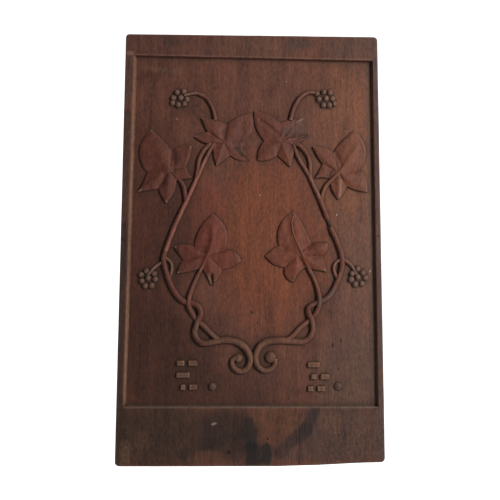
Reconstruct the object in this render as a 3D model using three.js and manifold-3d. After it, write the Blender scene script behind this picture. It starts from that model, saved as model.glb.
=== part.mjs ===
// Wall plaque: one board of dark wood with a raised border, a sunk field and ivy carved in relief.
// Millimetres. The back lies on the wall plane y = 0, the carving faces -Y and the board stands along +Z.
// Everything is first laid flat with x to the right, y up the board and z out of the wall.
import * as THREE from "three";
import { mergeVertices } from "three/addons/utils/BufferGeometryUtils.js";
import Module from "manifold-3d";

// Board; its bottom edge is worn away upwards from WORN_FROM to the right-hand corner
const BOARD_WIDTH = 250;
const BOARD_HEIGHT = 415;
const BOARD_THICKNESS = 20;
const CORNER_RADIUS = 4;
const EDGE_ROUND = 1.2;
const ROUND_STEPS = 2;
const CORNER_STEPS = 3;
const WORN_FROM = 40;
const WORN_RISE = 3.2;

// Sunk field: its floor reaches these lines, and its walls lean outwards by the slopes
const FIELD_DEPTH = 4;
const FIELD_LEFT_TOP = -114.2;
const FIELD_LEFT_BOTTOM = -116.9;
const FIELD_RIGHT = 117.9;
const FIELD_TOP_LEFT = 185.2;
const FIELD_TOP_RIGHT = 182.3;
const FIELD_BOTTOM_LEFT = -153.1;
const FIELD_BOTTOM_RIGHT = -153;
const SIDE_SLOPE = 1.8;
const END_SLOPE = 0.6;
const FLOOR = BOARD_THICKNESS - FIELD_DEPTH;
const OVERCUT = 1;
const EMBED = 2;

// Leaf blades: heights above the floor at the vein centre, on the ridges to the tips and in the notches
const VEIN_RISE = 3.2;
const TIP_RISE = 2;
const NOTCH_RISE = 1.4;
const RIDGE_SWELL = 0.4;
const RIDGE_FALL = 1.8;
const VALLEY_FALL = 0.7;
const RIDGE_SHARPNESS = 1.2;
const LEAF_RINGS = 3;
const EDGE_STEPS = 4;

// Stems
const STEM_RADIUS = 2.7;
const STALK_RADIUS = 2.1;
const TWIG_RADIUS = 1.5;
const STEM_LIFT = 0.5;
const OVER_LIFT = 1.2;
const UNDER_LIFT = -0.4;
const STEM_ROOT = 4.5;
const STEM_ARC_STEPS = 4;
const STEM_STEP = 6;

// Berries, scroll ends, bosses and strokes
const BERRY_RADIUS = 3.3;
const BERRY_RISE = 3.3;
const MIDDLE_BERRY_RISE = 3.8;
const BERRY_RING_RADIUS = 6.5;
const BERRY_SIDES = 8;
const BERRY_BANDS = 6;
const BALL_RISE = 3.6;
const BALL_SIDES = 12;
const BALL_BANDS = 8;
const BOSS_RADIUS = 4;
const BOSS_RISE = 2.6;
const STROKE_RISE = 2.6;
const STROKE_HEIGHT = 5;
const STROKE_SLOPE = 0.7;
const STROKE_PITCH = 11;

// Lost splinter on the right-hand stem
const CHIP = { at: [74.5, 19.5], radius: 3.4, height: BOARD_THICKNESS };

// The carving is drawn on a sheet, which is laid on the board slightly stretched, skewed and raised
const SHEET_WIDTH_SCALE = 1.004;
const SHEET_HEIGHT_SCALE = 1.0125;
const SHEET_SKEW = 0.0057;
const SHEET_RAISE = 1.2;

const MERGE_DISTANCE = 1e-4;
const WOOD = { color: 0x5a3020, roughness: 0.6, metalness: 0 };

// Each leaf is seen from its vein centre. Its edge runs anticlockwise from the tip of the middle lobe,
// tip and notch by turns: [x, y, bulge of the side that follows as a share of its length, rise if worn].
const LEAVES = [
  {
    centre: [-79, 69],
    edge: [
      [-97.5, 109, 0.21], [-101.5, 67.5, -0.07], [-109.5, 48.5, 0], [-90, 51.5, 0.03], [-82, 37.5, 0.1],
      [-72.5, 59.5, 0], [-56.5, 62, -0.09], [-64, 73, 0.07], [-58.5, 93, 0.11], [-77.5, 88.5, 0.03],
    ],
  },
  {
    centre: [-27, 97],
    edge: [
      [-0.5, 127, 0.08], [-24, 115, 0.05], [-49, 121, 0.05], [-43, 107.5, 0.02], [-55.5, 102.5, 0.1],
      [-38, 95, 0.05], [-34, 74, 0], [-21, 84.5, 0.12], [-2, 79.3, -0.2], [-8.5, 97.5, 0.19],
    ],
  },
  {
    centre: [29, 97],
    edge: [
      [3, 128, 0.11], [12, 98.5, 0.115], [6.3, 79.5, 0.115], [25, 84.5, 0.02], [37.5, 73.5, 0.06],
      [41, 95, 0.05], [57, 104, 0, 0.6], [45, 108, 0.03, 0.5], [51, 121.5, 0.06, 0.6], [28, 116.5, 0.08],
    ],
  },
  {
    centre: [84, 68],
    edge: [
      [101, 109, 0.05], [80, 88, 0.085], [59.5, 93, 0.05], [69, 76, 0], [62, 62.3, -0.04],
      [76.5, 61.5, 0.12], [84, 41.5, 0.05], [92.5, 54, 0.05], [112, 48.5, 0.115], [106, 70.5, 0.2],
    ],
  },
  {
    centre: [-41, -13],
    edge: [
      [-37, 27, 0.1], [-55, -4.5, 0.125], [-73.5, -4.3, 0], [-65, -17, 0.08], [-70.5, -29.5, 0.04],
      [-47.3, -24.3, -0.02], [-38, -40.5, 0.09], [-28.3, -26, 0.07], [-10, -18, 0.2], [-25, -7.5, 0.19],
    ],
  },
  {
    centre: [45, -12],
    edge: [
      [41, 29.5, 0.18], [26, -3.5, 0.05], [13.8, -13, 0.12], [31.5, -24, 0.19], [40.5, -38, -0.07],
      [51.2, -23.7, 0.02], [72, -28, 0.02], [68, -13.5, 0.15], [73, -1.5, 0.06], [57.5, -1.5, 0.04],
    ],
  },
];

// Stems pass smoothly through [x, y, axis height above the floor if not the usual one].
const STEMS = [
  // left side: main stem, inner strand, leaf stalks, scroll, berry stalks
  {
    radius: STEM_RADIUS,
    path: [
      [-36, 97], [-45, 80], [-55, 57], [-64, 37], [-74, 15], [-82, -8], [-83.5, -18], [-79.5, -32],
      [-74.5, -44], [-66, -54.5], [-58, -57.3, UNDER_LIFT], [-50.5, -60], [-47.8, -67],
      [-51, -76, OVER_LIFT], [-53.2, -85], [-50, -92], [-44, -95], [-34, -93.5],
    ],
  },
  { radius: STALK_RADIUS, path: [[-40, 96], [-47, 88], [-51, 79], [-52.3, 69], [-54.5, 58]] },
  { radius: TWIG_RADIUS, path: [[-81.5, -15], [-77, -18.5], [-75.5, -25], [-78, -36]] },
  { radius: STALK_RADIUS, path: [[-77, 68], [-69, 58], [-65, 50], [-63, 39]] },
  {
    radius: STALK_RADIUS,
    path: [
      [-44, -18], [-52, -34], [-57, -46], [-59.3, -57, OVER_LIFT], [-57, -65],
      [-51.5, -73, UNDER_LIFT], [-44, -79.5], [-36, -87.5], [-30, -92],
    ],
  },
  {
    radius: STEM_RADIUS,
    path: [
      [-40, -94.5], [-30, -92.5], [-22, -92], [-14, -93.5], [-7, -97.5], [-2, -104], [-0.5, -111],
      [-3.5, -118], [-9.5, -120.8], [-16, -117.5], [-17.8, -111], [-13, -107.5],
    ],
  },
  {
    radius: STALK_RADIUS,
    path: [[-65, 144], [-56.5, 145.7], [-50, 144.5], [-44, 140.5], [-38.5, 131.5], [-35.3, 119]],
  },
  { radius: TWIG_RADIUS, path: [[-82, -19], [-90, -23], [-97, -30]] },
  // right side
  {
    radius: STEM_RADIUS,
    path: [
      [40.5, 95], [46, 81], [55, 66], [65, 44], [75, 18], [83, -1], [86.7, -14], [86, -27], [79, -44],
      [72, -53], [62, -57.5, UNDER_LIFT], [55, -61.5], [54.3, -66.5], [57.5, -74, OVER_LIFT],
      [58.5, -83], [55, -90], [48, -93.8], [36, -93],
    ],
  },
  { radius: STALK_RADIUS, path: [[38, 97], [46, 94.5], [53, 87], [56.5, 78], [56.8, 69], [57.5, 60]] },
  { radius: TWIG_RADIUS, path: [[85.5, -16.5], [81, -19.5], [79, -26], [83, -37]] },
  { radius: STALK_RADIUS, path: [[86, 69], [75, 59], [70, 51], [67, 39]] },
  {
    radius: STALK_RADIUS,
    path: [
      [45, -5], [53, -21], [62, -40], [65, -56, OVER_LIFT], [62, -66], [56.5, -72.5, UNDER_LIFT],
      [46, -81], [40, -87.5], [34, -92],
    ],
  },
  {
    radius: STEM_RADIUS,
    path: [
      [42, -93.5], [30, -92.5], [22, -92.5], [14, -94], [8, -98], [5, -104], [4.5, -110], [7, -116.5],
      [12.5, -120], [19, -117.5], [20.5, -112],
    ],
  },
  { radius: STALK_RADIUS, path: [[65, 146], [55, 147], [48, 142.3], [43, 135], [40, 128], [37.5, 119]] },
  { radius: TWIG_RADIUS, path: [[86.5, -16.5], [93, -20], [99, -28]] },
];

// Berry bunches: a ring of berries round one in the middle
const BUNCHES = [
  { at: [-70.5, 140.5], turn: 0.2 },
  { at: [73, 140], turn: 0.6 },
  { at: [-98.5, -33], turn: 0.4 },
  { at: [102, -33.5], turn: 0.5 },
];
const RING_BERRIES = 7;

const SCROLL_ENDS = [
  { at: [-12, -108.8], radius: 4.4 },
  { at: [18.5, -108.1], radius: 5.6 },
];
const BOSSES = [[-36, -134.5], [82, -135]];

// Rows of strokes from the top row down: start and end of each stroke from the left of the group
const STROKE_GROUPS = [
  { at: [-70, -113], rows: [[[0, 8], [11, 20]], [[0, 13]], [[4, 9], [12, 20]]] },
  { at: [53, -115], rows: [[[0, 12]], [[3, 9], [12, 21]], [[0, 6], [9, 17]]] },
];

const wasm = await Module();
wasm.setup();

/** Closed solid from a geometry whose seams are welded. */
function solid(geometry) {
  geometry.deleteAttribute("normal");
  geometry.deleteAttribute("uv");
  const welded = mergeVertices(geometry, MERGE_DISTANCE);
  return new wasm.Manifold(new wasm.Mesh({
    numProp: 3,
    vertProperties: new Float32Array(welded.attributes.position.array),
    triVerts: new Uint32Array(welded.index.array),
  }));
}

/** Board blank: a rectangle with small round corners and eased edges. */
function boardGeometry() {
  const [w, h, r] = [BOARD_WIDTH / 2, BOARD_HEIGHT / 2, CORNER_RADIUS];
  const outline = new THREE.Shape();
  const worn = -h + WORN_RISE;
  outline.moveTo(-w + r, -h);
  outline.lineTo(WORN_FROM, -h);
  outline.lineTo(w - r, worn);
  outline.absarc(w - r, worn + r, r, -Math.PI / 2, 0);
  outline.lineTo(w, h - r);
  outline.absarc(w - r, h - r, r, 0, Math.PI / 2);
  outline.lineTo(-w + r, h);
  outline.absarc(-w + r, h - r, r, Math.PI / 2, Math.PI);
  outline.lineTo(-w, -h + r);
  outline.absarc(-w + r, -h + r, r, Math.PI, 1.5 * Math.PI);
  const board = new THREE.ExtrudeGeometry(outline, {
    depth: BOARD_THICKNESS - 2 * EDGE_ROUND,
    curveSegments: CORNER_STEPS,
    bevelThickness: EDGE_ROUND,
    bevelSize: EDGE_ROUND,
    bevelOffset: -EDGE_ROUND,
    bevelSegments: ROUND_STEPS,
  });
  return board.translate(0, 0, EDGE_ROUND);
}

/** Block between two four-sided faces, each given lower left, lower right, upper left, upper right. */
function taperedBlock(low, high, lowZ, highZ) {
  const block = new THREE.BoxGeometry(1, 1, 1);
  const place = block.attributes.position;
  for (let i = 0; i < place.count; i++) {
    const upper = place.getZ(i) > 0;
    const corner = (upper ? high : low)[(place.getY(i) > 0 ? 2 : 0) + (place.getX(i) > 0 ? 1 : 0)];
    place.setXYZ(i, corner[0], corner[1], upper ? highZ : lowZ);
  }
  return block;
}

/** Space above the field floor, with leaning walls carried past the front of the board. */
function fieldGeometry() {
  const reach = (FIELD_DEPTH + OVERCUT) / FIELD_DEPTH;
  const [side, end] = [SIDE_SLOPE * reach, END_SLOPE * reach];
  const floor = [
    [FIELD_LEFT_BOTTOM, FIELD_BOTTOM_LEFT], [FIELD_RIGHT, FIELD_BOTTOM_RIGHT],
    [FIELD_LEFT_TOP, FIELD_TOP_LEFT], [FIELD_RIGHT, FIELD_TOP_RIGHT],
  ];
  const mouth = floor.map(([x, y]) => [x + Math.sign(x) * side, y + Math.sign(y) * end]);
  return taperedBlock(floor, mouth, FLOOR, BOARD_THICKNESS + OVERCUT);
}

/** Height of a blade above the floor. crest is 1 on the ridge to a tip and 0 in the valley to a notch. */
function bladeRise(reach, crest, edgeRise) {
  const tip = Math.min(TIP_RISE, edgeRise);
  const notch = Math.min(NOTCH_RISE, edgeRise);
  const swell = RIDGE_SWELL * Math.sin(Math.PI * reach) * (tip / TIP_RISE);
  const ridge = THREE.MathUtils.lerp(VEIN_RISE, tip, reach ** RIDGE_FALL) + swell;
  const valley = THREE.MathUtils.lerp(VEIN_RISE, notch, reach ** VALLEY_FALL);
  return THREE.MathUtils.lerp(valley, ridge, crest ** RIDGE_SHARPNESS);
}

/** Leaf edge as points with their ridge share and rise; sides are parabolas between tip and notch. */
function leafOutline(edge) {
  return edge.flatMap(([x, y, bulge, rise = TIP_RISE], k) => {
    const [nextX, nextY, , nextRise = TIP_RISE] = edge[(k + 1) % edge.length];
    const start = new THREE.Vector2(x, y);
    const end = new THREE.Vector2(nextX, nextY);
    const outward = new THREE.Vector2(nextY - y, x - nextX).multiplyScalar(2 * bulge);
    const control = start.clone().lerp(end, 0.5).add(outward);
    const side = new THREE.QuadraticBezierCurve(start, control, end);
    return Array.from({ length: EDGE_STEPS }, (_, j) => {
      const t = j / EDGE_STEPS;
      const point = side.getPoint(t);
      const crest = k % 2 ? t : 1 - t;
      return { x: point.x, y: point.y, crest, rise: THREE.MathUtils.lerp(rise, nextRise, t) };
    });
  });
}

/** Leaf blade: rings drawn from the vein centre out to the edge, a wall below it and a flat underside. */
function leafGeometry({ centre, edge }) {
  const outline = leafOutline(edge);
  const count = outline.length;
  const points = [[centre[0], centre[1], FLOOR + VEIN_RISE], [centre[0], centre[1], FLOOR - EMBED]];
  for (let ring = 1; ring <= LEAF_RINGS; ring++) {
    const reach = ring / LEAF_RINGS;
    for (const { x, y, crest, rise } of outline) {
      points.push([
        THREE.MathUtils.lerp(centre[0], x, reach),
        THREE.MathUtils.lerp(centre[1], y, reach),
        FLOOR + bladeRise(reach, crest, rise),
      ]);
    }
  }
  outline.forEach(({ x, y }) => points.push([x, y, FLOOR - EMBED]));
  const faces = [];
  for (let i = 0; i < count; i++) {
    const next = (i + 1) % count;
    faces.push(0, 2 + i, 2 + next);
    for (let ring = 0; ring < LEAF_RINGS; ring++) {
      const [inner, outer] = [2 + ring * count, 2 + (ring + 1) * count];
      faces.push(inner + i, outer + i, outer + next, inner + i, outer + next, inner + next);
    }
    const under = 2 + LEAF_RINGS * count;
    faces.push(1, under + next, under + i);
  }
  const leaf = new THREE.BufferGeometry();
  leaf.setAttribute("position", new THREE.Float32BufferAttribute(points.flat(), 3));
  return leaf.setIndex(faces);
}

/** Stem carried along its path: round on top, with straight sides that run down into the board. */
function stemGeometry({ radius, path }) {
  const curve = new THREE.CatmullRomCurve3(
    path.map(([x, y, lift = STEM_LIFT]) => new THREE.Vector3(x, y, FLOOR + lift)), false, "centripetal",
  );
  const crown = Array.from({ length: STEM_ARC_STEPS + 1 }, (_, k) => {
    const angle = (k / STEM_ARC_STEPS) * Math.PI;
    return new THREE.Vector2(-radius * Math.sin(angle), radius * Math.cos(angle));
  });
  const root = [new THREE.Vector2(STEM_ROOT, -radius), new THREE.Vector2(STEM_ROOT, radius)];
  const section = new THREE.Shape([...crown, ...root]);
  return new THREE.ExtrudeGeometry(section, {
    steps: Math.ceil(curve.getLength() / STEM_STEP),
    extrudePath: curve,
    bevelEnabled: false,
  });
}

/** Dome standing on the floor: the upper half of a ball, drawn taller or flatter. */
function domeGeometry([x, y], radius, rise, sides, bands) {
  return new THREE.SphereGeometry(1, sides, bands)
    .rotateX(Math.PI / 2)
    .scale(radius, radius, rise)
    .translate(x, y, FLOOR);
}

/** Berries of one bunch, as geometries. */
function bunchGeometries({ at, turn }) {
  const ring = Array.from({ length: RING_BERRIES }, (_, k) => {
    const angle = turn + (k / RING_BERRIES) * 2 * Math.PI;
    return [at[0] + BERRY_RING_RADIUS * Math.cos(angle), at[1] + BERRY_RING_RADIUS * Math.sin(angle)];
  });
  const outer = ring.map((place) => domeGeometry(place, BERRY_RADIUS, BERRY_RISE, BERRY_SIDES, BERRY_BANDS));
  return [...outer, domeGeometry(at, BERRY_RADIUS, MIDDLE_BERRY_RISE, BERRY_SIDES, BERRY_BANDS)];
}

/** Raised strokes of one group, with sloping sides. */
function strokeGeometries({ at, rows }) {
  return rows.flatMap((row, k) => row.map(([from, to]) => {
    const middle = at[1] - k * STROKE_PITCH;
    const rectangle = (shrink) => [-1, 1].flatMap((v) => [
      [at[0] + from + shrink, middle + v * (STROKE_HEIGHT / 2 - shrink)],
      [at[0] + to - shrink, middle + v * (STROKE_HEIGHT / 2 - shrink)],
    ]);
    return taperedBlock(rectangle(0), rectangle(STROKE_SLOPE), FLOOR - EMBED, FLOOR + STROKE_RISE);
  }));
}

const carving = [
  ...LEAVES.map(leafGeometry),
  ...STEMS.map(stemGeometry),
  ...BUNCHES.flatMap(bunchGeometries),
  ...SCROLL_ENDS.map(({ at, radius }) => domeGeometry(at, radius, BALL_RISE, BALL_SIDES, BALL_BANDS)),
  ...BOSSES.map((at) => domeGeometry(at, BOSS_RADIUS, BOSS_RISE, BALL_SIDES, BALL_BANDS)),
  ...STROKE_GROUPS.flatMap(strokeGeometries),
];
const chip = new THREE.SphereGeometry(CHIP.radius, BALL_SIDES, BALL_BANDS)
  .translate(...CHIP.at, CHIP.height);
const sheet = new THREE.Matrix4().set(
  SHEET_WIDTH_SCALE, 0, 0, 0,
  SHEET_SKEW, SHEET_HEIGHT_SCALE, 0, SHEET_RAISE,
  0, 0, 1, 0,
  0, 0, 0, 1,
);
const laid = (geometry) => solid(geometry.applyMatrix4(sheet));
const ground = solid(boardGeometry()).subtract(solid(fieldGeometry()));
const relief = carving.map(laid).reduce((joined, next) => joined.add(next)).subtract(laid(chip));
const panel = ground.add(relief).getMesh();

const geometry = new THREE.BufferGeometry();
geometry.setAttribute("position", new THREE.Float32BufferAttribute(panel.vertProperties, panel.numProp));
geometry.setIndex(Array.from(panel.triVerts));
geometry.rotateX(Math.PI / 2);
geometry.computeVertexNormals();

const plaque = new THREE.Group();
const mesh = new THREE.Mesh(geometry, new THREE.MeshStandardMaterial(WOOD));
mesh.name = "carved_panel";
plaque.add(mesh);
export default plaque;
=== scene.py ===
"""Carved wall plaque: one board of old dark wood with a raised border, a sunk field and ivy in relief.

Sizes are millimetres on the board as it lies on its back: x to the right, y up the board, z out of the wall.
A finished mesh is turned upright into the part's frame, in metres, with the back on the plane y = 0.
"""

import logging
import math
from dataclasses import dataclass, field
from enum import Enum
from typing import Any, Sequence

import bpy
import numpy as np
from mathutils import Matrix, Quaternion, Vector


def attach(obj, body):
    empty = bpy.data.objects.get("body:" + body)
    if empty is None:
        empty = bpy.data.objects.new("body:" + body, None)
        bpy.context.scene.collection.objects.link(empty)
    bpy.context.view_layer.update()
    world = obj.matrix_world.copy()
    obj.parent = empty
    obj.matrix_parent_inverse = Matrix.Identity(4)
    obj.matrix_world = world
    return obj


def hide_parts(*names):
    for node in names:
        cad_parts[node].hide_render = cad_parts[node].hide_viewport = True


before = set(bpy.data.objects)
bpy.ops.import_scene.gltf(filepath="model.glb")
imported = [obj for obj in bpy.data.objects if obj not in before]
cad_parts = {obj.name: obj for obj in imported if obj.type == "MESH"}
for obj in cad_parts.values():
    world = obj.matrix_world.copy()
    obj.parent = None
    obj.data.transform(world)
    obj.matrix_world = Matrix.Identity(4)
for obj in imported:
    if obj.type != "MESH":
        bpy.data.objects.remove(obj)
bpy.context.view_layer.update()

LOG = logging.getLogger("plaque")
NODE = "carved_panel"
BODY = "root"

MM = 0.001
IMAGE_SIDE = 500
SENSOR_MM = 36.0

BOARD_THICKNESS = 20.0
FIELD_DEPTH = 4.0
FLOOR = BOARD_THICKNESS - FIELD_DEPTH
EMBED = 2.0

TINY = 1e-9
SPLINE_STEPS = 24
SPLINE_LEAST = 4

Pair = tuple[float, float]
Lattice = tuple[float, int]
Rgb = tuple[float, float, float]


class Crossing(Enum):
    """How high the axis of a stem runs above the floor of the field, in millimetres."""

    BROKEN = -0.9
    UNDER = -0.1
    LEVEL = 0.9
    OVER = 1.6
    IN_LEAF = 1.9
    ON_LEAF = 2.6


def smooth(t: np.ndarray) -> np.ndarray:
    """Ease from 0 to 1 with level ends: 3t² - 2t³, held beyond 0 and 1."""
    t = np.clip(t, 0.0, 1.0)
    return t * t * (3.0 - 2.0 * t)


def mix(a: Any, b: Any, t: Any) -> Any:
    """Straight blend from a at t = 0 to b at t = 1."""
    return a + (b - a) * t


class Noise:
    """Smooth uneven height over the board: random values on a square lattice, eased from one to the next."""

    def __init__(self, pitch: float, seed: int, reach: float = 240.0) -> None:
        """Draw the lattice.

        Args:
            pitch: Distance between lattice points in millimetres.
            seed: Number that fixes the random draw.
            reach: Half the side of the square that the lattice covers.
        """
        self.pitch = pitch
        self.reach = reach
        count = int(2 * reach / pitch) + 3
        self.values = np.random.default_rng(seed).uniform(-1.0, 1.0, (count, count))

    def at(self, x: np.ndarray, y: np.ndarray) -> np.ndarray:
        """Height from -1 to 1, eased between the four lattice points round each place.

        Args:
            x: Places to the right.
            y: Places up the board, of the same shape.

        Returns:
            The heights, of the same shape.
        """
        u = (np.asarray(x, float) + self.reach) / self.pitch
        v = (np.asarray(y, float) + self.reach) / self.pitch
        last = self.values.shape[0] - 2
        i = np.clip(np.floor(u).astype(int), 0, last)
        j = np.clip(np.floor(v).astype(int), 0, last)
        s = smooth(u - i)
        t = smooth(v - j)
        low = mix(self.values[i, j], self.values[i + 1, j], s)
        high = mix(self.values[i, j + 1], self.values[i + 1, j + 1], s)
        return mix(low, high, t)


@dataclass(frozen=True)
class Sheet:
    """The sheet that the carving is drawn on, laid on the board slightly stretched, skewed and raised."""

    width_scale: float = 1.004
    height_scale: float = 1.0125
    skew: float = 0.0057
    rise: float = 1.2

    def lay(self, points: np.ndarray) -> np.ndarray:
        """Carry points from the sheet onto the board.

        Args:
            points: Points whose first two columns are x and y; further columns stay as they are.

        Returns:
            The points on the board.
        """
        laid = np.array(points, float)
        laid[..., 1] = laid[..., 1] * self.height_scale + laid[..., 0] * self.skew + self.rise
        laid[..., 0] *= self.width_scale
        return laid


SHEET = Sheet()


def grid_faces(rows: int, columns: int, closed: bool) -> np.ndarray:
    """Four-sided faces between neighbouring points of a grid that is stored row by row.

    Args:
        rows: Number of rows.
        columns: Number of points in a row.
        closed: Whether each row is a ring, so that its last point joins its first.

    Returns:
        One row of four point numbers for each face.
    """
    r = np.arange(rows - 1)[:, None] * columns
    c = np.arange(columns if closed else columns - 1)[None, :]
    n = (c + 1) % columns
    return np.stack([r + c, r + n, r + columns + n, r + columns + c], axis=-1).reshape(-1, 4)


@dataclass
class Shell:
    """A closed surface in board millimetres."""

    points: np.ndarray
    quads: np.ndarray
    caps: Sequence[np.ndarray] = ()

    @classmethod
    def from_rings(cls, rings: np.ndarray) -> "Shell":
        """Skin over a stack of rings drawn on the sheet, closed by a flat face at both ends.

        Args:
            rings: Points, as ring × point × 3.

        Returns:
            The shell, laid on the board.
        """
        count, around = rings.shape[:2]
        first = np.arange(around)[::-1]
        last = np.arange(around) + (count - 1) * around
        return cls(SHEET.lay(rings.reshape(-1, 3)), grid_faces(count, around, True), (first, last))

    def volume(self) -> float:
        """Signed volume: the sum over all faces of the pyramids that they make with the origin.

        Returns:
            The volume, above zero where the faces point outwards.
        """
        a, b, c, d = (self.points[self.quads[:, k]] for k in range(4))
        total = np.einsum("ij,ij->", a, np.cross(b, c)) + np.einsum("ij,ij->", a, np.cross(c, d))
        for cap in self.caps:
            ring = self.points[cap]
            apex = np.broadcast_to(ring[0], ring[1:-1].shape)
            total += np.einsum("ij,ij->", apex, np.cross(ring[1:-1], ring[2:]))
        return total / 6.0

    def to_object(self, name: str) -> bpy.types.Object:
        """Mesh object in the part's frame, with its faces outwards.

        Args:
            name: Name of the object and its mesh.

        Returns:
            The object, linked to the scene.
        """
        faces = [*self.quads.tolist(), *(cap.tolist() for cap in self.caps)]
        if self.volume() < 0:
            faces = [face[::-1] for face in faces]
        upright = np.stack([self.points[:, 0], -self.points[:, 2], self.points[:, 1]], axis=1) * MM
        mesh = bpy.data.meshes.new(name)
        mesh.from_pydata(upright.tolist(), [], faces)
        mesh.update()
        made = bpy.data.objects.new(name, mesh)
        bpy.context.scene.collection.objects.link(made)
        return made


def spline(knots: np.ndarray, step: float) -> np.ndarray:
    """Smooth curve through all knots, with points at even steps of length.

    Between two knots each column is a cubic whose slope at a knot is half the chord between its neighbours.

    Args:
        knots: Knots, as knot × column; the first two columns are x and y.
        step: Distance between points in millimetres.

    Returns:
        Points, as point × column.
    """
    padded = np.vstack([2 * knots[0] - knots[1], knots, 2 * knots[-1] - knots[-2]])
    p0, p1, p2, p3 = (padded[k:len(padded) - 3 + k, None, :] for k in range(4))
    t = np.linspace(0.0, 1.0, SPLINE_STEPS, endpoint=False)[None, :, None]
    fine = 0.5 * (2 * p1 + (p2 - p0) * t + (2 * p0 - 5 * p1 + 4 * p2 - p3) * t**2
                  + (3 * p1 - p0 - 3 * p2 + p3) * t**3)
    fine = np.vstack([fine.reshape(-1, knots.shape[1]), knots[-1:]])
    run = np.concatenate([[0.0], np.cumsum(np.linalg.norm(np.diff(fine[:, :2], axis=0), axis=1))])
    places = np.linspace(0.0, run[-1], max(SPLINE_LEAST, int(run[-1] / step)))
    return np.stack([np.interp(places, run, column) for column in fine.T], axis=1)


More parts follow.
